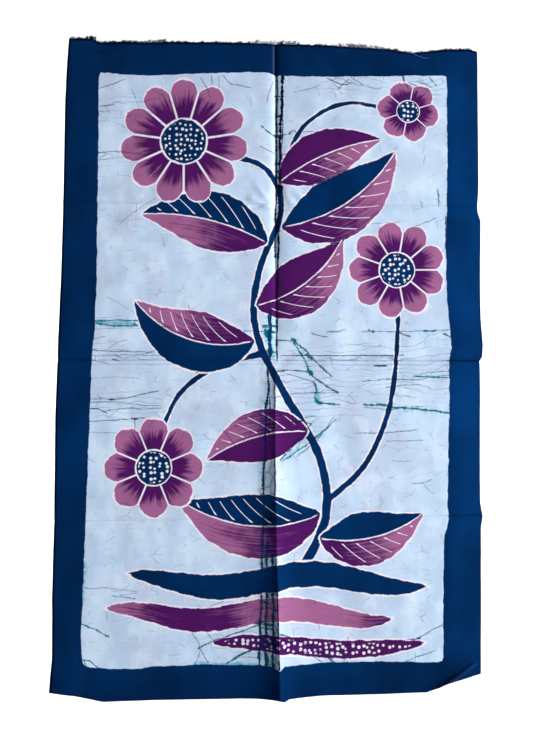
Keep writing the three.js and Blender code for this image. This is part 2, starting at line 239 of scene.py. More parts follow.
# Single cracks and the dye that ran in along them, and some lines of painted shade along the
# folds.
# Each row is its strength, above nought for teal dye and below it for dark dye and painted shade,
# and then the x and z of each point it runs through. The cracks of one layer keep clear of each
# other.
CRACKS = {
    "cracks_a": [
        (0.7, -243, -393, -210, -392, -176, -393), (-0.3, -247, -404, -210, -403, -168, -403),
        (-0.5, -248, -418, -233, -415), (-0.4, -224, -430, -212, -422, -201, -420),
        (-0.5, -248, -441, -200, -440, -150, -441),
        (-0.7, -249, -500, -222, -501, -200, -500, -176, -493, -158, -490),
        (-0.5, -230, -517, -205, -513, -179, -514, -152, -513), (-0.4, -188, -529, -188, -544),
        (-0.3, -226, -360, -210, -370, -192, -381), (-0.8, -103, -464, -84, -452),
        (-0.7, -66, -545, -50, -564), (-1.4, -150, -401, -140, -401),
        (-1.4, -103, -402, -94, -403), (0.6, -38, -407, -16, -408, 0, -409),
        (1, -26, -438, -12, -437, 4, -436), (0.6, -32, -534, -16, -535, -2, -535),
        (0.5, 77, -408, 90, -408, 98, -405), (0.45, 125, -407, 165, -408, 200, -407, 242, -406),
        (0.8, 8, -420, 20, -420, 30, -421), (0.8, 5, -462, 33, -461, 52, -463),
        (0.9, 52, -467, 70, -480, 89, -492), (1, 62, -505, 74, -506, 90, -508),
        (1.7, 30, -532, 40, -530), (0.8, 86, -530, 70, -544, 48, -562, 16, -583),
        (0.5, 125, -476, 158, -473, 199, -474, 243, -467),
        (0.5, 128, -512, 160, -515, 176, -512, 204, -511),
        (-0.55, 114, -547, 153, -547, 195, -543), (-0.45, 158, -558, 203, -557),
        (-0.4, 164, -585, 187, -585), (-0.5, 193, -615, 204, -614, 215, -611),
        (-0.4, -250, -756, -222, -755, -183, -760), (-0.6, -215, -765, -187, -769),
        (0.8, -256, -803, -239, -810, -221, -819),
        (0.7, -255, -850, -244, -851, -235, -859, -231, -864),
        (-0.6, -111, -810, -99, -826, -98, -834, -87, -851),
        (-0.5, -40, -744, -26, -746, -15, -750), (-0.4, -98, -786, -68, -773),
        (1.1, 12, -815, 31, -821, 59, -835, 87, -855),
        (-0.6, 95, -830, 120, -829, 164, -827, 193, -822, 229, -803), (0.5, 175, -853, 217, -838),
        (-0.6, -241, -64, -209, -52), (-0.5, -196, -69, -193, -77), (-0.5, -179, -82, -155, -77),
        (-0.5, -242, -91, -224, -88), (-0.5, -170, -109, -160, -113, -149, -111),
        (-0.4, -209, -119, -172, -132), (-0.6, -242, -156, -207, -155, -179, -160, -166, -155),
        (-0.4, -211, -257, -206, -251, -185, -236, -164, -222),
        (0.5, -101, -50, -91, -67, -87, -79), (0.4, -75, -47, -75, -63),
        (-0.5, 0, -56, -5, -71, -7, -82), (-1.3, 183, -46, 185, -56, 190, -64),
        (-0.7, 79, -51, 97, -59, 104, -59), (-0.6, 112, -50, 125, -59),
        (-0.4, 31, -70, 48, -66, 66, -61), (0.5, 204, -55, 222, -62),
        (-0.45, 13, -133, 38, -127, 83, -128), (-0.6, 13, -166, 27, -160),
        (-0.4, 141, -182, 155, -179, 172, -175), (-1, 230, -210, 232, -217),
        (-0.7, 231, -220, 231, -231), (-1, 241, -248, 240, -290),
        (-0.5, 189, -264, 204, -259, 225, -250), (-0.35, 141, -257, 176, -255),
        (-0.35, 150, -330, 178, -338), (1, 5, -75, 14, -76), (0.8, -14, -120, 4, -134),
        (-0.7, 11, -133, 28, -125, 52, -128), (1, 5, -192, 10, -193),
        (2, -12, -399, -4, -400, 3, -400), (1.2, -18, -434, 0, -435), (1, -9, -741, 2, -743),
        (1.2, -16, -772, -6, -774), (2.3, -21, -801, -14, -800, 0, -802),
        (1.2, -15, -824, -6, -823), (1, -45, -843, -30, -838, -15, -829),
    ],
    "cracks_b": [
        (0.9, -242, -396, -222, -400, -188, -400), (-0.6, -247, -433, -222, -435, -168, -436),
        (-1.2, -218, -446, -213, -447), (-0.3, -247, -472, -215, -470, -184, -472),
        (-1.5, -221, -501, -217, -501), (-0.7, -249, -514, -238, -514, -228, -519),
        (-1.6, -191, -528, -186, -528), (-0.35, -248, -546, -205, -547, -152, -545),
        (-0.9, -71, -459, -64, -450), (1.5, -10, -406, -5, -414, -5, -424),
        (2.4, 27, -418, 32, -422), (2.6, 46, -440, 51, -443), (2.6, 49, -461, 54, -466),
        (0.6, 55, -410, 66, -414, 74, -415), (1.3, 133, -407, 138, -408),
        (0.9, 174, -408, 180, -412, 188, -414), (1, 209, -407, 224, -407),
        (0.9, 236, -411, 245, -416), (1, 29, -420, 49, -437, 66, -456, 80, -469),
        (-0.3, 125, -428, 148, -428), (-1.8, 142, -455, 155, -455),
        (-0.6, 22, -467, 42, -472, 57, -478), (1.8, 60, -503, 65, -506),
        (-0.5, 6, -498, 20, -494, 48, -492, 88, -492),
        (0.8, 52, -535, 43, -547, 24, -569, 12, -582), (-0.5, 43, -526, 58, -524),
        (0.7, 195, -469, 217, -471, 243, -471), (-0.5, 157, -484, 174, -482, 201, -481),
        (-0.6, -252, -852, -247, -862), (-0.5, -96, -805, -80, -823),
        (-0.6, -98, -842, -100, -849, -105, -857), (1, -17, -828, -40, -842, -61, -854),
        (0.6, 14, -821, 45, -840, 67, -852), (-1.2, 190, -823, 197, -821),
        (-0.5, 101, -823, 96, -852), (-0.4, -242, -98, -230, -98), (-0.4, -242, -166, -222, -165),
        (0.5, -86, -47, -85, -57), (-0.6, -69, -47, -58, -58, -33, -63), (-0.6, 93, -63, 106, -53),
        (-0.4, 86, -58, 97, -72), (0.5, 192, -57, 204, -62, 219, -67), (0.6, 221, -50, 229, -60),
        (1.2, 6, -105, 13, -103), (2.2, 4, -131, 12, -133), (-0.6, 11, -160, 26, -156),
        (-0.6, -15, -148, 2, -157), (1, 4, -250, 9, -250), (2.2, -9, -412, -3, -414),
        (0.8, -34, -741, -22, -744, -14, -752), (2, -13, -755, -6, -755), (1.2, -7, -780, 6, -783),
        (0.8, -14, -807, -2, -808), (1.9, -14, -832, -4, -831, 5, -833), (1.6, -7, -840, -6, -850),
    ],
    "cracks_c": [
        (1.6, -191, -398, -186, -399), (-0.5, -186, -399, -175, -392, -166, -391),
        (-0.5, -249, -505, -215, -504, -190, -508, -152, -510),
        (-0.6, -249, -531, -222, -530, -200, -528, -178, -526), (0.7, -20, -442, 2, -441),
        (1.1, 30, -424, 44, -446, 48, -456, 51, -465),
        (1.1, 57, -478, 61, -487, 57, -498, 62, -505), (0.8, 22, -532, 40, -530, 52, -535),
        (0.5, 83, -527, 60, -558, 34, -578), (0.5, 204, -466, 226, -463, 243, -462),
        (1.2, 126, -508, 149, -509, 168, -512, 194, -514, 217, -516, 242, -520),
        (0.8, -98, -834, -79, -825, -55, -817, -17, -803),
        (-0.8, 14.5, -112, 13.2, -140, 12.6, -170, 11.8, -200, 12, -225), (1, 5, -172, 10, -171),
        (1, 3.5, -268, 8.5, -267), (1.4, -10, -408, 2, -409),
        # Painted shadow: the dark line just left of the upright fold's ridge
        (-1.3, 2.8, -461, 3.2, -500, 2.6, -530, 3, -560, 3.4, -600, 3.2, -640),
        (-0.4, -48, -846, -17, -846),
    ],
    "veins_a": [
        (1.1, 6.3, -46, 6.9, -70, 5.2, -98, 6.1, -122, 5.3, -131, 6.1, -160, 4.9, -190,
         5.7, -215, 3.8, -240, 4.3, -262, 3, -284, 3.4, -302),
        (2.8, -3, -378, -4.2, -392, -2.6, -404, -4.8, -415, -3, -430, -3.6, -445),
        # Painted shade: a dark line along the middle level fold
        (-0.3, -250, -447, -60, -446.6, 120, -447.6, 245, -448),
        (1.9, -5, -449, -6.6, -468, -4.6, -486, -7.2, -500, -9.2, -516, -8, -532, -9.9, -550,
         -9, -570, -12.2, -600, -11.8, -640, -13, -690, -14.2, -718, -13.2, -740, -15.4, -760,
         -14.2, -780, -16.6, -800, -15.6, -820, -17.6, -840, -16.8, -858),
        (1.8, 0, -712, 1.3, -740, 0.3, -757, 1.8, -778, 0.7, -800, 2.2, -820, 0.5, -840,
         1.7, -858),
        # Painted shade: a faint line along the lowest level fold
        (-0.06, -250, -666, 0, -662, 240, -658),
    ],
    "veins_b": [
        # Dark dye veins right of the upright fold, made darker still as painted shade on the
        # fold's shaded right flank
        (-3.0, 14.2, -47, 13.8, -62, 13.2, -80, 12.9, -98, 11.6, -112, 10.8, -128, 10.3, -136,
         10.9, -158, 9.7, -176, 10.5, -200, 8.9, -222, 9.6, -244),
        (-1.6, 9.6, -244, 8.1, -262, 8.7, -284, 7.3, -310, 7.9, -336, 6.3, -360, 6.9, -390,
         5.9, -420, 6.4, -446),
        # Painted shade: faint lines along the upper and middle level folds
        (-0.08, -250, -228, 0, -229, 243, -231), (-0.12, -250, -453, 0, -452.5, 243, -454),
        (-0.55, 14, -441, 60, -440.6, 94, -441, 145, -440.6, 178, -440.4),
        (-1.2, -3.8, -500, -2.9, -520, -4.5, -540, -3, -562),
        (1.9, -7, -696, -7.7, -718, -6.1, -740, -8.1, -757, -6.9, -775, -9, -795, -7.5, -815,
         -9.5, -835, -8, -858),
        (-1, 5, -716, 6.6, -760, 7.7, -800, 9.3, -858),
    ],
}

# Lines along the creases, in the same way: painted shade where the cloth folds in and under the
# tucked lip, below nought, and painted highlights beside them, above it
# Painted shade along the creases and the tuck
CREASES = [
    (-1.9, 209, -895, 228, -881, 247, -868), (-1.3, 247, -868, 258, -860, 267, -854),
    (-1.0, 4.6, 8, 4.6, -46), (-0.6, -299, -446, -248, -447), (-1.3, 243, -448, 292, -448),
    (-0.3, -299, -228, -243, -228), (-0.35, 243, -231, 292, -231), (-0.3, -299, -667, -252, -666),
    (-0.5, 239, -658, 292, -657), (-0.4, 198, -17, 222, -26), (-0.4, -270, -15, -222, -10),
]
# Painted highlights beside the upright fold and along the tuck's lip
PAINTED_CREASE_HIGHLIGHTS = [
    (0.5, 1.2, 8, 1.2, -42), (0.3, 216, -896, 250, -872, 271, -857),
]

# Where the top edge has ravelled: threads per millimetre, and the share of them that is pale
NAVY_THREAD, PALE_THREAD = 0, 1
THREAD_MATERIALS = ("navy_thread", "ravelled_thread")
RAVELLED_STRETCHES = rows(
    "from to each_mm short long lean pale",
    (-285, -264, 6.9, 0.9, 2.4, 0.1, 0.05), (-264, -248, 9.9, 1.6, 5.2, 0.3, 0.05),
    (-246, -213, 7.5, 0.9, 2.4, 0.2, 0.05), (-213, -201, 8.8, 1.4, 3.8, 0.3, 0.05),
    (-201, -178, 7.5, 0.9, 2.6, 0.2, 0.1), (-178, -149, 9.4, 1.4, 5.4, 0.35, 0.3),
    (-149, -30, 5.6, 0.7, 1.9, 0.1, 0.1), (-30, 38, 5.0, 1.6, 7.2, 0.3, 0.6),
    (38, 92, 3.8, 0.5, 1.4, 0.0, 0.1), (92, 151, 5.6, 1.8, 7.4, -0.6, 0.62),
    (151, 180, 7.5, 1.0, 3.4, -0.4, 0.45), (180, 282, 5.2, 0.6, 1.9, 0.1, 0.1),
)
STRAY_THREADS = rows(
    "x along drop lift tone",
    (196, 24, -10.0, 0.6, PALE_THREAD),
    (118, -22, 4.6, 0.9, PALE_THREAD),
    (-16, 18, 4.0, 1.2, PALE_THREAD),
    (-170, 14, 2.6, 0.8, NAVY_THREAD),
)
TUFT_SPACING = 5.0
TUFT_RISE = 2.4
TUFT_SPREAD = 0.7
TUFTED_SHARE = 0.5
THREAD_ROOT = 0.9
THREAD_DEPTH = 0.2
THREAD_DROOP = 0.15
THREAD_TIP = 0.45
THREAD_POINTS = 4
STRAY_POINTS = 9
STRAY_LIFT = 0.4
STRAY_RADII = (0.7, 0.4)
THREAD_SEED = 11

# The spread of each thread's lean, then the middle and the spread of its reach forward, its
# curl and its waver
LEAN_SPREAD = 0.25
FORWARD = (0.05, 0.15)
CURL = (0.0, 0.35)
WAVER = (0.0, 0.25)


def linear(red, green, blue):
    """A screen colour from 0 to 255 as the linear colour that a shader takes."""
    def one(value):
        share = value / 255
        return share / 12.92 if share <= 0.04045 else ((share + 0.055) / 1.055) ** 2.4
    return one(red), one(green), one(blue)


def colour_property(name, description, screen):
    return bpy.props.FloatVectorProperty(
        name=name, description=description, subtype="COLOR", size=3,
        min=0.0, max=1.0, default=linear(*screen),
    )


class TapestrySizes(bpy.types.PropertyGroup):
    """The sizes that a user of the add-on would change."""

    thickness: bpy.props.FloatProperty(
        name="Cloth thickness", description="Thickness of the cotton",
        default=0.45 * MM, min=0.1 * MM, max=SOLID_THICKNESS * MM, unit="LENGTH",
    )
    spacing: bpy.props.FloatProperty(
        name="Mesh spacing", description="Distance between the cloth's points away from its folds",
        default=3.7 * MM, min=2 * MM, max=20 * MM, unit="LENGTH",
    )
    fold_spacing: bpy.props.FloatProperty(
        name="Fold spacing", description="Distance between the cloth's points at a fold",
        default=1.5 * MM, min=0.5 * MM, max=10 * MM, unit="LENGTH",
    )
    thread: bpy.props.FloatProperty(
        name="Thread radius", description="Radius of one ravelled thread",
        default=0.25 * MM, min=0.05 * MM, max=1 * MM, unit="LENGTH",
    )
    lens: bpy.props.FloatProperty(
        name="Lens", description="Focal length of the camera, in millimetres", default=40.0,
    )
    distance: bpy.props.FloatProperty(
        name="Camera distance", description="Distance from the camera to the wall",
        default=1.122, unit="LENGTH",
    )
    tilt: bpy.props.FloatProperty(
        name="Camera tilt", description="How far the camera looks up",
        default=math.radians(3.8), subtype="ANGLE",
    )
    floor_drop: bpy.props.FloatProperty(
        name="Floor", description="Height of the floor under the origin",
        default=1.35, unit="LENGTH",
    )


class TapestryColours(bpy.types.PropertyGroup):
    """The dye colours."""

    navy: colour_property("Navy", "Border, stems and dark leaf halves", (1, 41, 87))
    ground: colour_property("Ground", "The pale ground under the wax", (203, 226, 252))
    plum: colour_property("Plum", "The dark end of the brushed dye", (79, 23, 95))
    pink: colour_property("Pink", "The light end of the brushed dye", (165, 102, 149))
    teal: colour_property("Teal", "Dye that crept under the cracked wax", (6, 98, 116))
    aqua: colour_property("Aqua", "Thin teal dye round a stain", (104, 200, 230))
    wax: colour_property("Wax line", "Lines that the wax kept pale", (240, 236, 248))
    crack: colour_property("Crack", "Fine veins of dark dye", (34, 34, 84))
    raw: colour_property("Raw edge", "Threads dyed through, at the torn edge", (2, 12, 40))
    ravel: colour_property("Ravelled thread", "Undyed heart of the loose threads", (176, 180, 202))


def look_up(table, key, place, column):
    """One column of a table at places along another, straight between its rows."""
    ordered = sorted(table, key=lambda row: row[key])
    return np.interp(place, [row[key] for row in ordered], [row[column] for row in ordered])


def smooth_step(value, low, high):
    share = np.clip((value - low) / (high - low), 0, 1)
    return share * share * (3 - 2 * share)


def fold_profile(distance, before, after, crisp=CRISP_SHARE):
    """A fold keeps a crisp crest and dies away on each side of it."""
    away = np.abs(distance)
    soft = np.exp(-away / np.where(distance < 0, before, after))
    return (1 - crisp) * soft + crisp * np.exp(-away / CRISP_REACH)


def segment_distance(x, z, start, end):
    """Distance to a straight piece, and how far along it the nearest point lies."""
    run = np.subtract(end, start)
    share = ((x - start[0]) * run[0] + (z - start[1]) * run[1]) / (run @ run)
    share = np.clip(share, 0, 1)
    return np.hypot(x - start[0] - share * run[0], z - start[1] - share * run[1]), share


def spot_share(spot, x, z):
    """A soft round spot: one at its middle and next to nothing past its reach."""
    across = (x - spot["x"]) / spot["reach_x"]
    along = (z - spot["z"]) / spot["reach_z"]
    return np.exp(-across ** 2 - along ** 2)


def streak_share(streak, x, z):
    """A soft straight streak: one along its middle and next to nothing past its reach."""
    away, _ = segment_distance(x, z, streak["from"], streak["to"])
    return np.exp(-(away / streak["reach"]) ** 2)


def level_fold_z(fold, x):
    share = np.clip((x + HALF_WIDTH) / (2 * HALF_WIDTH), 0, 1)
    return fold["left_z"] + share * (fold["right_z"] - fold["left_z"])


def tuck_rise(x, z):
    """The pinched corner: a lip along a slanting line that fades towards its upper end."""
    run = np.subtract(TUCK["end"], TUCK["start"])
    length = np.hypot(*run)
    from_x = x - TUCK["start"][0]
    from_z = z - TUCK["start"][1]
    along = (from_x * run[0] + from_z * run[1]) / length
    outward = (from_x * run[1] - from_z * run[0]) / length
    fade = 1 - smooth_step(along / length, TUCK["fade_from"], TUCK["fade_to"])
    return TUCK["rise"] * fade * fold_profile(outward, TUCK["inner"], TUCK["outer"])


def rumple(x, z, length, seed):
    """A smooth uneven field, about 1 high, made of waves in all directions."""
    random = np.random.default_rng(seed)
    total = np.zeros_like(x)
    for _ in range(RUMPLE_WAVES):
        angle = random.uniform(0, math.pi)
        reach = length * random.uniform(0.7, 1.6)
        phase = random.uniform(0, 2 * math.pi)
        along = x * math.cos(angle) + z * math.sin(angle)
        total += np.sin(2 * math.pi * along / reach + phase)
    return total / math.sqrt(RUMPLE_WAVES)


def stand_off(x, z):
    """How far the back of the cloth stands off the wall."""
    crossing, left, right, crisp, crest = (
        look_up(UPRIGHT_FOLD, "z", z, column)
        for column in ("x", "left", "right", "crisp", "rise"))
    rise = STAND_OFF + tuck_rise(x, z)
    rise += crest * fold_profile(x - crossing, left, right, crisp)
    side = smooth_step(x, crossing - CROSSING_REACH, crossing + CROSSING_REACH)
    for fold in LEVEL_FOLDS:
        height = fold["left_rise"] + side * (fold["right_rise"] - fold["left_rise"])
        rise += height * fold_profile(z - level_fold_z(fold, x), fold["down"], fold["up"])
    for swell in SWELLS:
        rise += swell["rise"] * spot_share(swell, x, z)
    for pucker in PUCKERS:
        rise += pucker["rise"] * streak_share(pucker, x, z)
    for wave in RUMPLES:
        rise += wave["rise"] * rumple(x, z, wave["length"], wave["seed"])
    return np.maximum(rise, LEAST_STAND_OFF)


def hang(share, flat_z):
    """The hung place of cloth points, from their share across and their flat height."""
    x = FOLD_U + share * HALF_WIDTH
    guides = [look_up(TOP_EDGE, "x", x, "z") + STRIP_RISE]
    guides += [level_fold_z(fold, x) for fold in LEVEL_FOLDS]
    guides.append(look_up(BOTTOM_EDGE, "x", x, "z"))
    z = np.zeros_like(x)
    for field, (high, low) in enumerate(zip(FLAT_ROWS, FLAT_ROWS[1:])):
        down = (high - flat_z) / (high - low)
        here = (flat_z <= high) & (flat_z >= low)
        z = np.where(here, guides[field] + down * (guides[field + 1] - guides[field]), z)
    crossing = look_up(UPRIGHT_FOLD, "z", z, "x")
    left = look_up(LEFT_EDGE, "z", z, "x")
    right = look_up(RIGHT_EDGE, "z", z, "x")
    edge = np.where(share < 0, left, right)
    return crossing + np.abs(share) * (edge - crossing), z


def crowded(start, end, centres, fine, coarse, reach):
    """Places from start to end that crowd together round each centre."""
    steps = np.linspace(start, end, CROWDING_STEPS)
    density = np.full(len(steps), 1 / coarse)
    for centre in centres:
        density += (1 / fine - 1 / coarse) * np.exp(-((steps - centre) / reach) ** 2)
    count = np.concatenate([[0], np.cumsum((density[1:] + density[:-1]) / 2 * np.diff(steps))])
    total = int(round(count[-1]))
    return np.interp(np.linspace(0, count[-1], total + 1), count, steps)


# Dye fields: signed distances in millimetres, below nought inside a shape

def panel_field(x, z):
    """Above nought inside the pale panel, and below it in the border."""
    sides = [
        x - look_up(PANEL_LEFT, "z", z, "x"),
        look_up(PANEL_RIGHT, "z", z, "x") - x,
        look_up(PANEL_TOP, "x", x, "z") - z,
        z - look_up(PANEL_BOTTOM, "x", x, "z"),
    ]
    across = np.minimum(sides[0], sides[1])
    along = np.minimum(sides[2], sides[3])
    low = np.where(x < 0, PANEL_CORNERS["bottom_left"], PANEL_CORNERS["bottom_right"])
    radius = np.where(z > FLAT_ROWS[2], PANEL_CORNERS["top"], low)
    corner = np.hypot(np.maximum(radius - across, 0), np.maximum(radius - along, 0))
    return np.where(corner > 0, radius - corner, np.minimum(across, along))


def smooth_path(points):
    """Points of a smooth curve through a few given ones."""
    knots = np.array(points, float)
    knots = np.vstack([2 * knots[0] - knots[1], knots, 2 * knots[-1] - knots[-2]])
    share = np.linspace(0, 1, PATH_STEPS, endpoint=False)[:, None]
    path = []
    for before, start, end, after in zip(knots, knots[1:], knots[2:], knots[3:]):
        path.append(0.5 * (
            2 * start + (end - before) * share
            + (2 * before - 5 * start + 4 * end - after) * share ** 2
            + (3 * start - before - 3 * end + after) * share ** 3
        ))
    path = np.vstack([*path, knots[-2][None]])
    for _ in range(PATH_PASSES):
        path[1:-1] = (path[:-2] + 2 * path[1:-1] + path[2:]) / 4
    return path


def stem_field(x, z):
    nearest = np.full(x.shape, FAR)
    for stem in STEMS:
        path = smooth_path(stem["points"])
        widths = np.linspace(stem["start"], stem["end"], len(path))
        for start, end, width, next_width in zip(path, path[1:], widths, widths[1:]):
            away, share = segment_distance(x, z, start, end)
            nearest = np.minimum(nearest, away - width - share * (next_width - width))
    return nearest


def leaf_half_width(leaf, share):
    return leaf["width"] * np.sin(math.pi * np.clip(share, 0, 1) ** LEAF_SKEW) ** LEAF_FULLNESS


def leaf_field(leaf, x, z):
    """A leaf on a bent midrib: distance, share along, millimetres across, tone."""
    heading = math.radians(leaf["heading"])
    turn = math.radians(leaf["bend"])
    side = math.copysign(1, turn)
    radius = leaf["length"] / abs(turn)
    from_x = x - leaf["base"][0]
    from_z = z - leaf["base"][1]
    ahead = from_x * math.cos(heading) + from_z * math.sin(heading)
    aside = side * (from_z * math.cos(heading) - from_x * math.sin(heading))
    along = radius * np.arctan2(ahead, radius - aside)
    across = side * (radius - np.hypot(ahead, radius - aside))
    share = along / leaf["length"]
    width = leaf_half_width(leaf, share)
    slope = (leaf_half_width(leaf, share + LEAF_STEP) - width) / (LEAF_STEP * leaf["length"])
    inside = (np.abs(across) - width) / np.sqrt(1 + slope ** 2)
    ends = np.hypot(np.minimum(along, 0) + np.maximum(along - leaf["length"], 0), across)
    away = np.where((share > 0) & (share < 1), inside, ends)
    return away, np.stack([share, across, np.full_like(x, leaf["tone"])], -1)


def bloom_field(bloom, x, z):
    """A round bloom with scalloped petals: distance, place as shares of its size, petals."""
    from_x = x - bloom["centre"][0]
    from_z = z - bloom["centre"][1]
    turn = math.radians(bloom["turn"])
    right = from_x * math.cos(turn) - from_z * math.sin(turn)
    up = from_x * math.sin(turn) + from_z * math.cos(turn)
    scallop = np.abs(np.cos(bloom["petals"] * np.arctan2(up, right) / 2)) ** PETAL_ROUNDNESS
    edge = bloom["outer"] * (1 - PETAL_DEPTH + PETAL_DEPTH * scallop)
    away = BLOOM_SLOPE * (np.hypot(right, up) - edge)
    place = [right / bloom["outer"], up / bloom["outer"], np.full_like(x, bloom["petals"])]
    return away, np.stack(place, -1)


def ribbon_field(ribbon, x, z):
    """A wavy ribbon that runs out to a point at each end: distance, place, kind."""
    from_x = x - ribbon["x"]
    share = np.abs(from_x / ribbon["half"])
    wave = np.sin(2 * math.pi * x / ribbon["length"] + ribbon["phase"])
    from_z = z - ribbon["z"] - ribbon["wave"] * wave
    half = ribbon["thick"] * np.clip(1 - share ** RIBBON_TAPER, 0, 1) ** RIBBON_POINT
    beyond = np.maximum(np.abs(from_x) - ribbon["half"], 0)
    within = RIBBON_SLOPE * (np.abs(from_z) - half)
    away = np.where(share < 1, within, np.hypot(beyond, from_z))
    return away, np.stack([from_x, from_z, np.full_like(x, ribbon["kind"])], -1)


def nearest_of(shapes, field, x, z):
    """The distance and the place within whichever shape is nearest."""
    best, place = None, None
    for shape in shapes:
        away, here = field(shape, x, z)
        if best is None:
            best, place = away, here
            continue
        closer = away < best
        best = np.where(closer, away, best)
        place = np.where(closer[:, None], here, place)
    return best, place


def crackle_field(x, z):
    share = np.full_like(x, LEAST_CRACKLE)
    for spot in CRACKLED:
        share = np.maximum(share, spot["share"] * spot_share(spot, x, z))
    return share


def stain_field(x, z):
    share = np.zeros_like(x)
    for stain in STAINS:
        share = np.maximum(share, stain["share"] * streak_share(stain, x, z))
    return share


def crack_field(cracks, x, z):
    """For the nearest line of a layer (cracks, and the lines of painted shade and highlight):
    millimetres across it, from it, and its strength.
    """
    nearest = np.full(x.shape, FAR)
    signed = np.full(x.shape, FAR)
    strength = np.zeros(x.shape)
    for crack_strength, *places in cracks:
        points = list(zip(places[::2], places[1::2]))
        for start, end in zip(points, points[1:]):
            away, _ = segment_distance(x, z, start, end)
            run = np.subtract(end, start)
            across = ((x - start[0]) * run[1] - (z - start[1]) * run[0]) / np.hypot(*run)
            closer = away < nearest
            nearest = np.where(closer, away, nearest)
            signed = np.where(closer, across, signed)
            strength = np.where(closer, crack_strength, strength)
    return np.stack([signed, nearest, strength], -1)


# Shader building

NODE_SPACING = (180, 220)
NODES_PER_COLUMN = 6
NOISE_ROUGHNESS = 0.55


class Wiring:
    """Adds nodes to one tree and joins them to values or to other nodes' outputs."""

    def __init__(self, tree):
        self.tree = tree
        self.count = 0

    def add(self, kind, given=(), **settings):
        """A node with its settings. The given values go to its inputs, in order or by name."""
        node = self.tree.nodes.new(kind)
        column, row = divmod(self.count, NODES_PER_COLUMN)
        node.location = (NODE_SPACING[0] * column, -NODE_SPACING[1] * row)
        self.count += 1
        for name, value in settings.items():
            setattr(node, name, value)
        for key, value in given.items() if isinstance(given, dict) else enumerate(given):
            self.feed(node.inputs[key], value)
        return node

    def feed(self, socket, value):
        if isinstance(value, bpy.types.NodeSocket):
            self.tree.links.new(value, socket)
        elif socket.type == "RGBA" and len(value) == 3:
            socket.default_value = (*value, 1.0)
        else:
            socket.default_value = value

    def math(self, operation, *values):
        return self.add("ShaderNodeMath", values, operation=operation).outputs[0]

    def plus(self, first, second):
        return self.math("ADD", first, second)

    def minus(self, first, second):
        return self.math("SUBTRACT", first, second)

    def over(self, first, second):
        return self.math("DIVIDE", first, second)

    def times(self, product, *factors):
        for factor in factors:
            product = self.math("MULTIPLY", product, factor)
        return product

    def line(self, value, slope, start):
        return self.math("MULTIPLY_ADD", value, slope, start)

    def size(self, value):
        return self.math("ABSOLUTE", value)

    def vector(self, operation, *values):
        return self.add("ShaderNodeVectorMath", values, operation=operation).outputs[0]

    def scaled(self, vector, factor):
        return self.add("ShaderNodeVectorMath", {"Vector": vector, "Scale": factor},
                        operation="SCALE").outputs[0]

    def combine(self, x, y):
        return self.add("ShaderNodeCombineXYZ", (x, y)).outputs[0]

    def separate(self, vector):
        return tuple(self.add("ShaderNodeSeparateXYZ", (vector,)).outputs)

    def mix(self, share, under, over, blend="MIX"):
        node = self.add("ShaderNodeMix", data_type="RGBA", blend_type=blend)
        sockets = {socket.identifier: socket for socket in (*node.inputs, *node.outputs)}
        for name, value in (("Factor_Float", share), ("A_Color", under), ("B_Color", over)):
            self.feed(sockets[name], value)
        return sockets["Result_Color"]

    def ease(self, value, low, high, start=0.0, end=1.0):
        """Start below low, end above high, and smoothly between."""
        given = zip(("Value", "From Min", "From Max", "To Min", "To Max"),
                    (value, low, high, start, end))
        return self.add("ShaderNodeMapRange", dict(given),
                        interpolation_type="SMOOTHSTEP").outputs["Result"]

    def noise(self, place, length, detail=2.0, stretch=None, dimensions="2D", output="Fac"):
        """Soft noise whose features are about that many millimetres long."""
        if stretch:
            place = self.vector("MULTIPLY", place, (*stretch, 0.0))
        given = {"Vector": place, "Scale": 1 / length, "Detail": detail,
                 "Roughness": NOISE_ROUGHNESS}
        return self.add("ShaderNodeTexNoise", given, noise_dimensions=dimensions).outputs[output]

    def attribute(self, name, output="Fac"):
        return self.add("ShaderNodeAttribute", attribute_type="GEOMETRY",
                        attribute_name=name).outputs[output]

    def group(self, tree, **values):
        """A placed group; the name line_width feeds its socket Line width."""
        given = {name.replace("_", " ").capitalize(): value for name, value in values.items()}
        return self.add("ShaderNodeGroup", given, node_tree=tree).outputs

    def cloth_place(self):
        """The place on the flat cloth in millimetres, from its UV map."""
        flat = self.add("ShaderNodeUVMap", uv_map="Cloth").outputs["UV"]
        return self.vector("MULTIPLY", flat, (1 / MM, 1 / MM, 0.0))

    def relief(self, shader, height, strength, depth):
        """A bump of so many millimetres on a material's shader."""
        given = {"Strength": strength, "Distance": depth * MM, "Height": height}
        self.feed(shader.inputs["Normal"], self.add("ShaderNodeBump", given).outputs["Normal"])


SOCKETS = {"number": "NodeSocketFloat", "vector": "NodeSocketVector", "colour": "NodeSocketColor"}


def new_group(name, takes, gives):
    """An empty shader group with named sockets: its wiring, its inputs and its outputs."""
    tree = bpy.data.node_groups.new(name, "ShaderNodeTree")
    for side, sockets in (("INPUT", takes), ("OUTPUT", gives)):
        for kind, names in sockets.items():
            for socket in names.split(", "):
                tree.interface.new_socket(name=socket, in_out=side, socket_type=SOCKETS[kind])
    wiring = Wiring(tree)
    return wiring, wiring.add("NodeGroupInput").outputs, wiring.add("NodeGroupOutput").inputs


def hand_drawn_shape_group():
    """Turns a distance into a filled shape and a wax line, both a little unsteady."""
    wiring, given, made = new_group(
        "Hand-drawn shape", {"number": "Distance, Slow, Quick, Wander, Line width"},
        {"number": "Inside, Line"})
    sway = wiring.times(wiring.minus(given["Slow"], 0.5), 3.4)
    sway = wiring.line(wiring.minus(given["Quick"], 0.5), 1.6, sway)
    away = wiring.line(sway, given["Wander"], given["Distance"])
    wiring.feed(made["Inside"], wiring.ease(away, -0.35, 0.35, 1, 0))
    half = wiring.times(given["Line width"], wiring.line(given["Slow"], 0.8, 0.15))
    off = wiring.minus(wiring.size(away), half)
    wiring.feed(made["Line"], wiring.ease(off, -0.4, 0.4, 1, 0))
    return wiring.tree


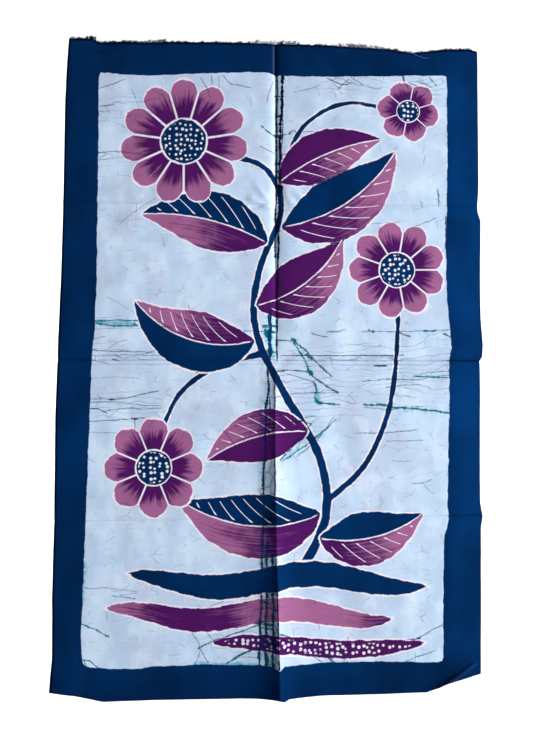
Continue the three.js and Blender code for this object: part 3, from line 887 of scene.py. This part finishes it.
def brushed_dye_group():
    """Dye brushed on from dark to light, with the ragged streaks of the brush."""
    wiring, given, made = new_group(
        "Brushed dye",
        {"vector": "Strokes", "number": "Blotch, Share", "colour": "Dark, Light"},
        {"colour": "Colour"})
    streaks = wiring.noise(given["Strokes"], 1, 3)
    loaded = wiring.line(wiring.minus(streaks, 0.5), 1.1, given["Share"])
    loaded = wiring.line(wiring.minus(given["Blotch"], 0.5), 0.5, loaded)
    wiring.feed(made["Colour"], wiring.mix(
        wiring.ease(loaded, 0.15, 0.75), given["Dark"], given["Light"]))
    return wiring.tree


def wax_drops_group():
    """Uneven pale dots, each one drop of wax."""
    wiring, given, made = new_group(
        "Wax drops", {"vector": "Place", "number": "Pitch"}, {"number": "Drops"})
    cells = wiring.add(
        "ShaderNodeTexVoronoi", voronoi_dimensions="2D", feature="F1",
        given={"Vector": given["Place"], "Scale": wiring.over(1, given["Pitch"]),
               "Randomness": 0.6}).outputs
    edge = wiring.line(wiring.separate(cells["Color"])[0], 0.12, 0.2)
    off = wiring.minus(cells["Distance"], edge)
    wiring.feed(made["Drops"], wiring.ease(off, -0.04, 0.04, 1, 0))
    return wiring.tree


def wax_crackle_group():
    """A net of cracks in the wax: fine veins, and the softer bleed beside them."""
    wiring, given, made = new_group(
        "Wax crackle", {"vector": "Place, Warp, Cell", "number": "Strength, Width, Cover"},
        {"number": "Vein, Bleed"})
    place = wiring.vector("ADD", given["Place"], given["Warp"])
    place = wiring.vector("DIVIDE", place, given["Cell"])
    edge = wiring.add(
        "ShaderNodeTexVoronoi", voronoi_dimensions="2D", feature="DISTANCE_TO_EDGE",
        given={"Vector": place, "Scale": 1}).outputs["Distance"]
    opened = wiring.ease(wiring.plus(given["Strength"], given["Cover"]), 0.62, 0.95)
    width = wiring.times(given["Width"], wiring.line(given["Strength"], 1.6, 0.1))
    away = wiring.over(edge, width)
    wiring.feed(made["Vein"], wiring.times(wiring.ease(away, 0.4, 1.3, 1, 0), opened))
    wiring.feed(made["Bleed"], wiring.times(wiring.ease(away, 1, 9, 1, 0), opened))
    return wiring.tree


def crack_line_group():
    """Single lines, for cracks of dye and for painted shade and highlights along creases: a
    wavering line, thicker where it is strong, and its halo.
    """
    wiring, given, made = new_group(
        "Crack line", {"vector": "Crack", "number": "Sway, Swell"},
        {"number": "Teal, Dark, Halo"})
    across, away, strength = wiring.separate(given["Crack"])
    share = wiring.size(strength)
    is_teal = wiring.math("GREATER_THAN", strength, 0)
    half = wiring.times(share, wiring.line(given["Swell"], 2.2, -0.64))
    half = wiring.line(wiring.math("MAXIMUM", half, 0), wiring.line(is_teal, 0.45, 1), 0.14)
    off = wiring.minus(wiring.size(wiring.plus(across, given["Sway"])), half)
    line = wiring.times(wiring.ease(off, -0.45, 0.55, 1, 0), wiring.ease(away, 2.2, 3.6, 1, 0),
                        wiring.ease(share, -0.3, 0.8))
    wiring.feed(made["Teal"], wiring.times(line, is_teal))
    wiring.feed(made["Dark"], wiring.times(line, wiring.minus(1, is_teal)))
    halo = wiring.ease(wiring.over(away, wiring.line(share, 2.6, 1.6)), 0, 1, 1, 0)
    wiring.feed(made["Halo"], wiring.times(halo, wiring.ease(given["Swell"], 0.5, 0.75), is_teal))
    return wiring.tree


def plain_weave_group():
    """Plain weave: over and under threads, a little uneven, as height and shade."""
    wiring, given, made = new_group(
        "Plain weave", {"vector": "Place", "number": "Pitch"}, {"number": "Height, Shade"})
    turn = wiring.over(math.pi, given["Pitch"])
    across, along = (wiring.math("SINE", wiring.times(side, turn))
                     for side in wiring.separate(given["Place"])[:2])
    height = wiring.line(wiring.times(across, along), 0.5, 0.5)
    slub = wiring.plus(wiring.noise(given["Place"], 0.9, stretch=(1, 0.03)),
                       wiring.noise(given["Place"], 1.1, stretch=(0.05, 1)))
    wiring.feed(made["Height"], wiring.line(slub, 0.35, height))
    wiring.feed(made["Shade"], wiring.ease(slub, 0.6, 1.4))
    return wiring.tree


GROUP_MAKERS = {
    "shape": hand_drawn_shape_group,
    "brushed": brushed_dye_group,
    "drops": wax_drops_group,
    "crackle": wax_crackle_group,
    "crack": crack_line_group,
    "weave": plain_weave_group,
}


class PatternAndFoldShade(Wiring):
    """Paints the design layer by layer inside the pattern group, with the painted light and shade
    along the folds and creases.
    """

    def __init__(self, tree, groups, dyes):
        super().__init__(tree)
        self.count = len(tree.nodes)
        self.groups = groups
        self.place = self.cloth_place()
        self.x, self.z, _ = self.separate(self.place)
        self.slow = self.noise(self.place, 16, 1)
        self.quick = self.noise(self.place, 3.4, 1)
        self.blotch = self.noise(self.place, 24)
        # The navy used all through the design carries painted light, lighter towards the right
        self.dyes = dict(dyes, navy=self.navy_with_painted_light(dyes["navy"]))
        self.covered = 0.0
        self.colour = self.ground()

    def navy_with_painted_light(self, navy):
        """Mottled navy with painted light: lighter to the right; darker at top, bottom and lower
        right.
        """
        cloudy = self.noise(self.place, 60, 3, stretch=(1, 0.6))
        lower_right = self.times(self.ease(self.z, -760, -480, 1, 0),
                                 self.ease(self.x, 120, 240, 0, 0.2))
        # Painted light: the navy grows lighter towards the right, most of all in the right-hand
        # border
        strength = self.plus(self.ease(self.x, -250, 200, 1.02, 1.12),
                             self.ease(self.x, 222, 268, 0, 0.42))
        return self.scaled(navy, self.times(
            strength, self.ease(cloudy, 0.3, 0.7, 0.84, 1.2),
            self.ease(self.z, -70, -30, 1, 0.86), self.ease(self.z, -885, -850, 0.8, 1),
            self.minus(1, lower_right)))

    def ground(self):
        """The pale ground, streaked along the warp and mottled by the wax brush."""
        ground = self.dyes["ground"]
        grain = self.noise(self.place, 5, 3, stretch=(1, 0.07))
        mottle = self.noise(self.place, 30, 4, stretch=(1, 0.7))
        share = self.line(grain, 0.12, self.times(mottle, 0.88))
        dark = self.mix(0.10, ground, self.dyes["navy"])
        light = self.mix(0.42, ground, (0.82, 0.92, 1.0))
        lilac = self.ease(self.noise(self.place, 90), 0.45, 0.62, 0, 0.16)
        clear = self.mix(lilac, ground, self.dyes["pink"])
        clear = self.mix(self.ease(share, 0.36, 0.52), dark, clear)
        return self.mix(self.ease(share, 0.5, 0.66, 0, 0.7), clear, light)

    def shape(self, away, wander, line_width):
        return self.group(self.groups["shape"], distance=away, slow=self.slow, quick=self.quick,
                          wander=wander, line_width=line_width)

    def brushed(self, strokes, share):
        return self.group(self.groups["brushed"], strokes=strokes, blotch=self.blotch,
                          share=share, dark=self.dyes["plum"], light=self.dyes["pink"])["Colour"]

    def waxed(self, share, fill):
        return self.mix(share, fill, self.dyes["wax"])

    def dotted(self, fill, pitch, away, deepest):
        """Drops of wax over a fill, but none across its edge."""
        drops = self.group(self.groups["drops"], place=self.place, pitch=pitch)["Drops"]
        return self.waxed(self.times(drops, self.ease(away, deepest, deepest + 1, 1, 0)), fill)

    def lay(self, shape, fill):
        """A filled shape and its wax line, over what is there."""
        self.colour = self.waxed(shape["Line"], self.mix(shape["Inside"], self.colour, fill))
        self.covered = self.math("MAXIMUM", self.covered, shape["Inside"])

    def stain(self, share, dye):
        """Darkens what is there and never lightens it: dye that soaks in, and also the painted
        shade along folds and creases.
        """
        self.colour = self.mix(share, self.colour, dye, "DARKEN")

    def stems(self):
        self.lay(self.shape(self.attribute("stem_mm"), 0.5, 1.7), self.dyes["navy"])

    def ribbons(self):
        away = self.attribute("ribbon_mm")
        at = self.attribute("ribbon_at", "Vector")
        x, _, kind = self.separate(at)
        share = self.line(self.math("SINE", self.times(x, 0.02)), 0.5, 0.5)
        brushed = self.brushed(self.vector("MULTIPLY", at, (0.014, 0.5, 0)), share)
        seeded = self.dotted(self.dyes["plum"], 7.5, away, -5)
        fill = self.mix(self.math("GREATER_THAN", kind, 0.5), self.dyes["navy"], brushed)
        fill = self.mix(self.math("GREATER_THAN", kind, 1.5), fill, seeded)
        self.lay(self.shape(away, 0.8, 1.9), fill)

    def leaves(self):
        away = self.attribute("leaf_mm")
        share, across, tone = self.separate(self.attribute("leaf_at", "Vector"))
        above = self.math("GREATER_THAN", across, 0)
        below = self.minus(1, above)
        first = self.math("LESS_THAN", tone, 0.5)
        third = self.math("GREATER_THAN", tone, 1.5)
        second = self.minus(self.minus(1, first), third)
        strokes = self.combine(self.times(share, 2.4), self.times(across, 0.5))
        brushed = self.brushed(strokes, self.line(share, 1.5, -0.3))
        navy_here = self.line(first, above, self.times(second, below))
        fill = self.mix(navy_here, brushed, self.dyes["navy"])
        fill = self.mix(self.times(third, above), fill, self.dyes["plum"])
        fill = self.waxed(self.times(self.leaf_veins(share, across, away), below), fill)
        rib = self.times(self.shape(across, 0.5, 1.5)["Line"], self.ease(share, 0.02, 0.05))
        self.lay(self.shape(away, 0.8, 2), self.waxed(rib, fill))

    def leaf_veins(self, share, across, away):
        """Slanting wax strokes that start with a round blob beside the midrib."""
        off_rib = self.size(across)
        comb = self.minus(self.times(share, 8), self.times(off_rib, 0.055))
        tooth = self.size(self.minus(self.math("FRACT", comb), 0.5))
        stroke = self.ease(off_rib, 6, 9, 0.066, 0.034)
        return self.times(
            self.ease(self.minus(tooth, stroke), -0.014, 0.014, 1, 0), self.ease(off_rib, 4, 5),
            self.ease(away, -7, -5.5, 1, 0), self.ease(share, 0.12, 0.14))

    def blooms(self):
        away = self.attribute("bloom_mm")
        right, up, petals = self.separate(self.attribute("bloom_at", "Vector"))
        radius = self.math("SQRT", self.line(right, right, self.times(up, up)))
        angle = self.math("ARCTAN2", up, right)
        strokes = self.combine(self.times(radius, 1.2), self.times(angle, 12))
        brushed = self.brushed(strokes, self.line(radius, 2.4, -1.2))
        half_turns = self.times(angle, petals, 0.5)
        gap = self.times(self.size(self.math("COSINE", half_turns)), radius, 140)
        fill = self.waxed(self.ease(self.over(gap, petals), 0.8, 1.5, 1, 0), brushed)
        heart_away = self.times(self.minus(radius, 0.36), 70)
        heart = self.shape(heart_away, 0.6, 1.9)
        centre = self.dotted(self.dyes["navy"], 7, heart_away, -4)
        fill = self.waxed(heart["Line"], self.mix(heart["Inside"], fill, centre))
        self.lay(self.shape(away, 0.8, 2), fill)

    def crackle(self):
        """Fine cracks, single cracks, and the washes of teal beside them."""
        cover = self.attribute("crackle")
        bend = self.noise(self.place, 44, 1.6, output="Color")
        warp = self.scaled(self.vector("SUBTRACT", bend, (0.5, 0.5, 0.5)), 26)
        strength = self.noise(self.place, 34)
        bleed = self.bleed()
        crack = self.dyes["crack"]
        teal, thin = (self.mix(self.covered, self.dyes[dye], crack) for dye in ("teal", "aqua"))
        bare = self.line(self.covered, -0.35, 1)
        wash = self.plus(self.line(bleed, 1.3, -1), self.attribute("stain"))
        self.stain(self.times(self.ease(wash, -0.15, 0.6, 0, 0.9), bare),
                   self.mix(0.3, thin, teal))
        tint = self.mix(self.ease(self.blotch, 0.45, 0.6), crack, teal)
        self.stain(self.times(self.level_cracks(cover), 0.5), tint)
        self.stain(self.times(self.hairlines(warp, strength, cover), 0.5), tint)
        quick, slow = self.minus(self.quick, 0.5), self.minus(self.slow, 0.5)
        styles = {
            "cracks": (self.line(slow, 2.4, quick),
                       {"Halo": (0.7, thin), "Teal": (0.95, teal), "Dark": (0.92, crack)}),
            "veins": (self.plus(slow, self.times(quick, 0.7)),
                      {"Halo": (0.7, thin), "Teal": (1.3, self.mix(0.8, teal, self.dyes["navy"])),
                       "Dark": (1.3, self.scaled(crack, 0.5))}),
        }
        for name in CRACKS:
            sway, parts = styles[name.split("_")[0]]
            line = self.crack_line(name, sway, bleed)
            for part, (share, dye) in parts.items():
                self.stain(self.times(line[part], bare, share), dye)
        self.ladder(warp, strength)

    def crack_line(self, name, sway, swell):
        return self.group(self.groups["crack"], crack=self.attribute(name, "Vector"), sway=sway,
                          swell=swell)

    def bleed(self):
        """How far dye has crept, in short runs along the warp and along the weft."""
        return self.math("MAXIMUM", *(self.noise(self.place, 4.4, stretch=stretch)
                                      for stretch in ((1, 0.32), (0.32, 1))))

    def level_cracks(self, cover):
        """Fine cracks that run nearly level, each broken into pieces of its own."""
        drift = self.noise(self.place, 34, 2.4, stretch=(0.5, 1))
        height = self.line(drift, 3.4, self.over(self.z, 8))
        off = self.size(self.minus(self.math("FRACT", height), 0.5))
        piece = self.combine(self.over(self.x, 34), self.times(self.math("FLOOR", height), 7.3))
        opened = self.plus(self.noise(piece, 1, 1), cover)
        return self.times(self.ease(off, 0.02, 0.07, 1, 0), self.ease(opened, 0.66, 1.1))

    def hairlines(self, warp, strength, cover):
        """Short fine veins that run every way, more of them where the wax has cracked most."""
        veins = self.net(self.scaled(warp, 0.4), strength, (30, 14, 1), 0.02, 0.5)["Vein"]
        broken = self.line(cover, 0.14, self.noise(self.place, 20))
        return self.times(veins, self.ease(broken, 0.56, 0.66))

    def net(self, warp, strength, cell, width, cover):
        return self.group(self.groups["crackle"], place=self.place, warp=warp,
                          strength=strength, cell=cell, width=width, cover=cover)

    def ladder(self, warp, strength):
        """Short cracks between the veins left of the upright fold, and grey painted shade on that
        flank of the fold.
        """
        dyes = self.dyes
        off = self.minus(self.x, FOLD_U)
        ladder = self.net(warp, strength, (11, 26, 1), 0.04, 0.6)
        crack_and_shade_band = self.times(self.ease(off, -26, -16), self.ease(off, -2, 2, 1, 0),
                          self.ease(self.z, -720, -480, 1, 0.3),
                          self.ease(self.z, -440, -420, 1, 0))
        # Painted shade: a grey tint over the fold's left flank, stronger lower down
        self.stain(self.times(crack_and_shade_band, 0.4), self.mix(0.5, dyes["ground"], dyes["crack"]))
        self.stain(self.times(ladder["Bleed"], crack_and_shade_band, 0.4), dyes["teal"])
        self.stain(self.times(ladder["Vein"], crack_and_shade_band, 0.8),
                   self.mix(0.5, dyes["teal"], dyes["navy"]))

    def border(self):
        inside = self.shape(self.attribute("border_mm"), 0.7, 0)["Inside"]
        self.colour = self.mix(inside, self.colour, self.dyes["navy"])

    def creases(self):
        """Painted highlights and painted shade along the creases, over everything, and the cloth
        darker within a few millimetres of its side and top edges.
        """
        highlight, creased = (self.crack_line(name, 0, 0.6) for name in ("worn_creases", "creases"))
        # Painted highlight: a pale navy line on the lit side of two creases
        pale = self.mix(0.12, self.dyes["navy"], self.dyes["ground"])
        self.colour = self.mix(self.times(highlight["Teal"], 0.6), self.colour, pale)
        side = self.size(self.minus(self.x, FOLD_U))
        dark_edges_and_crease_shade = self.ease(side, HALF_WIDTH - 3.6, HALF_WIDTH - 1.4, 0, 0.7)
        dark_edges_and_crease_shade = self.math("MAXIMUM", dark_edges_and_crease_shade, self.ease(self.z, -4.4, -1.8, 0, 0.9))
        # Painted shade along the creases
        dark_edges_and_crease_shade = self.math("MAXIMUM", dark_edges_and_crease_shade, self.times(creased["Dark"], 0.75))
        self.stain(dark_edges_and_crease_shade, self.scaled(self.dyes["navy"], 0.15))


DYES = ("navy", "ground", "plum", "pink", "teal", "aqua", "wax", "crack")


def pattern_and_fold_shade_group(groups):
    """The whole dyed design as a colour, with painted light in it: the navy lighter to the right,
    and painted shade and highlights along the folds and creases.
    """
    sockets = ", ".join(name.capitalize() for name in DYES)
    wiring, given, made = new_group("Dyed pattern and painted shade", {"colour": sockets}, {"colour": "Colour"})
    pattern = PatternAndFoldShade(wiring.tree, groups, {name: given[name.capitalize()] for name in DYES})
    for layer in (pattern.stems, pattern.ribbons, pattern.leaves, pattern.blooms,
                  pattern.crackle, pattern.border, pattern.creases):
        layer()
    wiring.feed(made["Colour"], pattern.colour)
    return wiring.tree


def new_material(name, roughness):
    material = bpy.data.materials.new(name)
    material.use_nodes = True
    tree = material.node_tree
    shader = tree.nodes["Principled BSDF"]
    shader.inputs["Roughness"].default_value = roughness
    shader.inputs["Specular IOR Level"].default_value = 0.02
    return material, Wiring(tree), shader


def cotton_material(name, groups, colours, fade):
    """Dyed cotton: the design, the weave's shade and its relief. The reverse is paler."""
    material, wiring, shader = new_material(name, roughness=0.85)
    place = wiring.cloth_place()
    dyes = {key: tuple(getattr(colours, key)) for key in DYES}
    colour = wiring.group(groups["pattern"], **dyes)["Colour"]
    colour = wiring.mix(fade, colour, dyes["ground"])
    weave = wiring.group(groups["weave"], place=place, pitch=0.42)
    wiring.feed(shader.inputs["Base Color"],
                wiring.scaled(colour, wiring.line(weave["Shade"], 0.05, 0.975)))
    height = wiring.line(wiring.noise(place, 9, 3), 4, weave["Height"])
    wiring.relief(shader, height, strength=0.45, depth=0.09)
    return material


def thread_material(name, colour, groups):
    """One colour of loose thread, uneven along its length."""
    material, wiring, shader = new_material(name, roughness=0.9)
    place = wiring.scaled(wiring.add("ShaderNodeTexCoord").outputs["Object"], 1 / MM)
    uneven = wiring.ease(wiring.noise(place, 3, dimensions="3D"), 0.3, 0.7)
    darker = wiring.mix(0.25, colour, (0.0, 0.0, 0.01))
    wiring.feed(shader.inputs["Base Color"], wiring.mix(uneven, darker, colour))
    weave = wiring.group(groups["weave"], place=place, pitch=0.3)
    wiring.relief(shader, weave["Height"], strength=0.3, depth=0.03)
    return material


def link_object(name, data):
    made = bpy.data.objects.new(name, data)
    bpy.context.scene.collection.objects.link(made)
    return made


def smooth_object(name, mesh):
    mesh.name = name
    mesh.polygons.foreach_set("use_smooth", [True] * len(mesh.polygons))
    return link_object(name, mesh)


def write_attribute(mesh, name, values):
    kind = "FLOAT" if values.ndim == 1 else "FLOAT_VECTOR"
    attribute = mesh.attributes.new(name, kind, "POINT")
    column = "value" if values.ndim == 1 else "vector"
    attribute.data.foreach_set(column, values.astype(np.float32).ravel())


class TAPESTRY_OT_materials(bpy.types.Operator):
    """Makes the shader groups and the materials of the cloth and its threads"""

    bl_idname = "tapestry.materials"
    bl_label = "Dyed cotton"

    def execute(self, context):
        colours = context.scene.tapestry_colours
        groups = {name: make() for name, make in GROUP_MAKERS.items()}
        groups["pattern"] = pattern_and_fold_shade_group(groups)
        cotton_material("dyed_cotton_face", groups, colours, fade=0.0)
        cotton_material("dyed_cotton_reverse", groups, colours, fade=0.10)
        for name, colour in zip(THREAD_MATERIALS, (colours.raw, colours.ravel)):
            thread_material(name, tuple(colour), groups)
        return {"FINISHED"}


class TAPESTRY_OT_cloth(bpy.types.Operator):
    """Hangs the cloth on its folds and marks the dyed design on it"""

    bl_idname = "tapestry.cloth"
    bl_label = "Cloth"

    fold_crowding = {"across": 11, "down": 7}
    ragged_wave = {"length": 5, "seed": 9}
    ragged_rise = 0.5

    def execute(self, context):
        sizes = context.scene.tapestry_sizes
        spacings = (sizes.fold_spacing / MM, sizes.spacing / MM)
        across = crowded(-HALF_WIDTH, HALF_WIDTH, [0.0], *spacings, self.fold_crowding["across"])
        down = crowded(FLAT_ROWS[-1], FLAT_ROWS[0], FLAT_ROWS[1:4], *spacings,
                       self.fold_crowding["down"])
        bm = bmesh.new()
        bmesh.ops.create_grid(bm, x_segments=len(across) - 1, y_segments=len(down) - 1,
                              size=0.5, calc_uvs=False)
        mesh = bpy.data.meshes.new("cloth")
        bm.to_mesh(mesh)
        bm.free()
        flat = np.zeros(len(mesh.vertices) * 3, np.float32)
        mesh.vertices.foreach_get("co", flat)
        flat = flat.reshape(-1, 3)
        columns = np.rint((flat[:, 0] + 0.5) * (len(across) - 1)).astype(int)
        lines = np.rint((flat[:, 1] + 0.5) * (len(down) - 1)).astype(int)
        share = across[columns] / HALF_WIDTH
        flat_z = down[lines]
        x, z = hang(share, flat_z)
        y = -stand_off(x, z) - SOLID_THICKNESS / 2
        is_top = lines == len(down) - 1
        ragged = rumple(x, z, **self.ragged_wave) * is_top * self.ragged_rise
        hung = np.stack([x, y, z + ragged], -1) * MM
        mesh.vertices.foreach_set("co", hung.astype(np.float32).ravel())
        self.mark_place(mesh, FOLD_U + share * HALF_WIDTH, flat_z)
        self.mark_design(mesh, x, z)
        mesh.update()
        cloth = smooth_object("cloth_panel_cotton", mesh)
        for side in ("face", "reverse"):
            mesh.materials.append(bpy.data.materials[f"dyed_cotton_{side}"])
        solidify = cloth.modifiers.new("Thickness", "SOLIDIFY")
        solidify.thickness = sizes.thickness
        solidify.offset = 0.0
        solidify.material_offset = 1
        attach(cloth, "root")
        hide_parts("cloth_panel")
        return {"FINISHED"}

    def mark_place(self, mesh, flat_x, flat_z):
        """The cloth's UV map holds its flat place in metres."""
        corners = np.zeros(len(mesh.loops), np.int32)
        mesh.loops.foreach_get("vertex_index", corners)
        layer = mesh.uv_layers.new(name="Cloth")
        place = np.stack([flat_x[corners], flat_z[corners]], -1) * MM
        layer.data.foreach_set("uv", place.astype(np.float32).ravel())

    def mark_design(self, mesh, x, z):
        """Each field of the design, at every point of the cloth."""
        fields = {
            "border_mm": panel_field(x, z),
            "stem_mm": stem_field(x, z),
            "crackle": crackle_field(x, z),
            "stain": stain_field(x, z),
        }
        for name, shapes, field in (("leaf", LEAVES, leaf_field), ("bloom", BLOOMS, bloom_field),
                                    ("ribbon", RIBBONS, ribbon_field)):
            fields[f"{name}_mm"], fields[f"{name}_at"] = nearest_of(shapes, field, x, z)
        lines = dict(CRACKS, creases=CREASES, worn_creases=PAINTED_CREASE_HIGHLIGHTS)
        for name, cracks in lines.items():
            fields[name] = crack_field(cracks, x, z)
        for name, values in fields.items():
            write_attribute(mesh, name, values)


def edge_point(x):
    """A point on the cloth's top edge, where its threads come loose."""
    side = LEFT_EDGE if x < FOLD_U else RIGHT_EDGE
    reach = abs(look_up(side, "z", 0.0, "x") - FOLD_U)
    x, z = hang(np.array([(x - FOLD_U) / reach]), np.zeros(1))
    y = -stand_off(x, z) - SOLID_THICKNESS / 2
    return Vector((x[0], y[0], z[0]))


def add_thread(curve, points, radii, tone):
    spline = curve.splines.new("POLY")
    spline.points.add(len(points) - 1)
    spline.material_index = tone
    for point, place, radius in zip(spline.points, points, radii):
        point.co = (*(place * MM), 1.0)
        point.radius = radius


class TAPESTRY_OT_ravelled_edge(bpy.types.Operator):
    """Draws the loose threads along the torn top edge"""

    bl_idname = "tapestry.ravelled_edge"
    bl_label = "Ravelled edge"

    def execute(self, context):
        curve = bpy.data.curves.new("threads", "CURVE")
        curve.dimensions = "3D"
        curve.bevel_depth = context.scene.tapestry_sizes.thread
        curve.bevel_resolution = 0
        curve.use_fill_caps = True
        for tone in THREAD_MATERIALS:
            curve.materials.append(bpy.data.materials[tone])
        random = np.random.default_rng(THREAD_SEED)
        for stretch in RAVELLED_STRETCHES:
            width = stretch["to"] - stretch["from"]
            tufts = random.uniform(stretch["from"], stretch["to"], int(width / TUFT_SPACING) + 1)
            for _ in range(int(width * stretch["each_mm"])):
                self.short_thread(curve, stretch, tufts, random)
        for stray in STRAY_THREADS:
            self.stray_thread(curve, stray, random)
        drawn = link_object("threads_curve", curve)
        depsgraph = context.evaluated_depsgraph_get()
        mesh = bpy.data.meshes.new_from_object(drawn.evaluated_get(depsgraph))
        bpy.data.objects.remove(drawn)
        threads = smooth_object("frayed_top_edge_threads", mesh)
        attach(threads, "root")
        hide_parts("frayed_top_edge")
        return {"FINISHED"}

    def short_thread(self, curve, stretch, tufts, random):
        """Half the threads stand anywhere and half in tufts, where they are longer."""
        x = random.uniform(stretch["from"], stretch["to"])
        length = random.uniform(stretch["short"], stretch["long"]) * random.uniform(0.6, 1.0)
        if random.uniform() < TUFTED_SHARE:
            x = random.choice(tufts) + random.normal(0, TUFT_SPREAD)
            length += TUFT_RISE * random.uniform()
        lean = stretch["lean"] + random.normal(0, LEAN_SPREAD)
        forward = random.normal(*FORWARD)
        curl = random.normal(*CURL)
        tone = PALE_THREAD if random.uniform() < stretch["pale"] else NAVY_THREAD
        depth = random.uniform(-THREAD_DEPTH, THREAD_DEPTH)
        root = edge_point(x) + Vector((0, depth, -THREAD_ROOT))
        points = []
        for share in np.linspace(0, 1, THREAD_POINTS):
            reach = share * (length + THREAD_ROOT)
            sway = lean * reach + curl * reach * share
            rise = reach * (1 - THREAD_DROOP * share)
            points.append(root + Vector((sway, -forward * reach, rise)))
        add_thread(curve, points, np.linspace(1.0, THREAD_TIP, THREAD_POINTS), tone)

    def stray_thread(self, curve, stray, random):
        """A longer weft thread that has worked loose and trails along the edge."""
        points = []
        for share in np.linspace(0, 1, STRAY_POINTS):
            x = stray["x"] + stray["along"] * share
            rise = stray["drop"] * math.sin(share * math.pi / 2) + random.normal(*WAVER)
            lift = stray["lift"] * math.sin(share * math.pi) + STRAY_LIFT
            points.append(edge_point(x) + Vector((0, -lift, rise)))
        add_thread(curve, points, np.linspace(*STRAY_RADII, STRAY_POINTS), stray["tone"])


def studio_material():
    """The pale matt surround."""
    material, wiring, shader = new_material("studio_white", roughness=0.9)
    place = wiring.add("ShaderNodeTexCoord").outputs["Object"]
    cloudy = wiring.noise(place, 0.8, dimensions="3D")
    wiring.feed(shader.inputs["Base Color"],
                wiring.mix(cloudy, (0.71, 0.71, 0.72), (0.75, 0.75, 0.75)))
    return material


def area_light(name, place, aim, size, power, spread):
    light = bpy.data.lights.new(name, "AREA")
    light.shape = "SQUARE"
    light.size = size
    light.energy = power
    light.spread = math.radians(spread)
    made = link_object(name, light)
    made.location = place
    made.rotation_mode = "QUATERNION"
    made.rotation_quaternion = (Vector(aim) - Vector(place)).to_track_quat("-Z", "Y")
    made.visible_camera = False


class TAPESTRY_OT_stage(bpy.types.Operator):
    """Sets up the pale floor with its curved surround, the soft lights and the camera"""

    bl_idname = "tapestry.stage"
    bl_label = "Stage"

    floor_radius = 3.2
    bend_radius = 1.2
    bend_steps = 8
    wall_height = 4.6
    world_strength = 0.04
    camera_x, camera_z = 0.0035, -0.530

    def execute(self, context):
        sizes = context.scene.tapestry_sizes
        self.build_surround(-sizes.floor_drop)
        middle = (cad_low + cad_high) / 2
        area_light("key_light", place=(3.9, -1.58, middle.z + 0.2), aim=(0, 0, middle.z),
                   size=0.8, power=30.3, spread=56)
        for side in (-1, 1):
            area_light(f"surround_light_{side + 1}", place=(1.6 * side, 0.5, 1.5),
                       aim=(0.9 * side, 3.8, -0.3), size=1.5, power=115, spread=125)
        self.set_world(context.scene)
        self.place_camera(context.scene, sizes)
        return {"FINISHED"}

    def build_surround(self, floor_z):
        """A round floor whose rim curves up into a wall, spun from one profile."""
        bm = bmesh.new()
        places = [(0.0, floor_z)]
        for angle in np.radians(np.linspace(0, 90, self.bend_steps + 1)):
            places.append((self.floor_radius + self.bend_radius * math.sin(angle),
                           floor_z + self.bend_radius * (1 - math.cos(angle))))
        places.append((places[-1][0], floor_z + self.wall_height))
        profile = [bm.verts.new((reach, 0.0, height)) for reach, height in places]
        edges = [bm.edges.new(pair) for pair in zip(profile, profile[1:])]
        bmesh.ops.spin(bm, geom=profile + edges, cent=(0, 0, 0), axis=(0, 0, 1),
                       angle=2 * math.pi, steps=64, use_merge=True)
        bmesh.ops.remove_doubles(bm, verts=bm.verts, dist=1e-5)
        bmesh.ops.recalc_face_normals(bm, faces=bm.faces)
        mesh = bpy.data.meshes.new("surround")
        bm.to_mesh(mesh)
        bm.free()
        mesh.materials.append(studio_material())
        surround = smooth_object("studio_surround", mesh)

    def set_world(self, scene):
        world = bpy.data.worlds.new("studio_world")
        world.use_nodes = True
        background = world.node_tree.nodes["Background"]
        background.inputs["Color"].default_value = (1.0, 1.0, 1.0, 1.0)
        background.inputs["Strength"].default_value = self.world_strength
        scene.world = world
        scene.view_settings.view_transform = "Standard"

    def place_camera(self, scene, sizes):
        data = bpy.data.cameras.new("photo_camera")
        data.lens = sizes.lens
        data.clip_start = 0.05
        data.clip_end = 30.0
        camera = link_object("photo_camera", data)
        camera.location = (self.camera_x, -sizes.distance, self.camera_z)
        camera.rotation_euler = (math.pi / 2 + sizes.tilt, 0.0, 0.0)
        scene.camera = camera


class TAPESTRY_PT_panel(bpy.types.Panel):
    """Lists the sizes, the colours and the steps"""

    bl_idname = "TAPESTRY_PT_panel"
    bl_label = "Tapestry"
    bl_space_type = "VIEW_3D"
    bl_region_type = "UI"
    bl_category = "Tapestry"

    def draw(self, context):
        layout = self.layout
        for settings in (context.scene.tapestry_sizes, context.scene.tapestry_colours):
            for name in settings.bl_rna.properties.keys():
                if name not in {"rna_type", "name"}:
                    layout.prop(settings, name)
        for step in STEPS:
            layout.operator(step.bl_idname)


STEPS = (
    TAPESTRY_OT_materials,
    TAPESTRY_OT_stage,
    TAPESTRY_OT_cloth,
    TAPESTRY_OT_ravelled_edge,
)
CLASSES = (TapestrySizes, TapestryColours, *STEPS, TAPESTRY_PT_panel)


def register():
    for made in CLASSES:
        bpy.utils.register_class(made)
    bpy.types.Scene.tapestry_sizes = bpy.props.PointerProperty(type=TapestrySizes)
    bpy.types.Scene.tapestry_colours = bpy.props.PointerProperty(type=TapestryColours)


def unregister():
    del bpy.types.Scene.tapestry_colours
    del bpy.types.Scene.tapestry_sizes
    for made in reversed(CLASSES):
        bpy.utils.unregister_class(made)


def main():
    register()
    bpy.ops.tapestry.materials()
    bpy.ops.tapestry.stage()
    bpy.ops.tapestry.cloth()
    bpy.ops.tapestry.ravelled_edge()


if __name__ == "__main__":
    main()
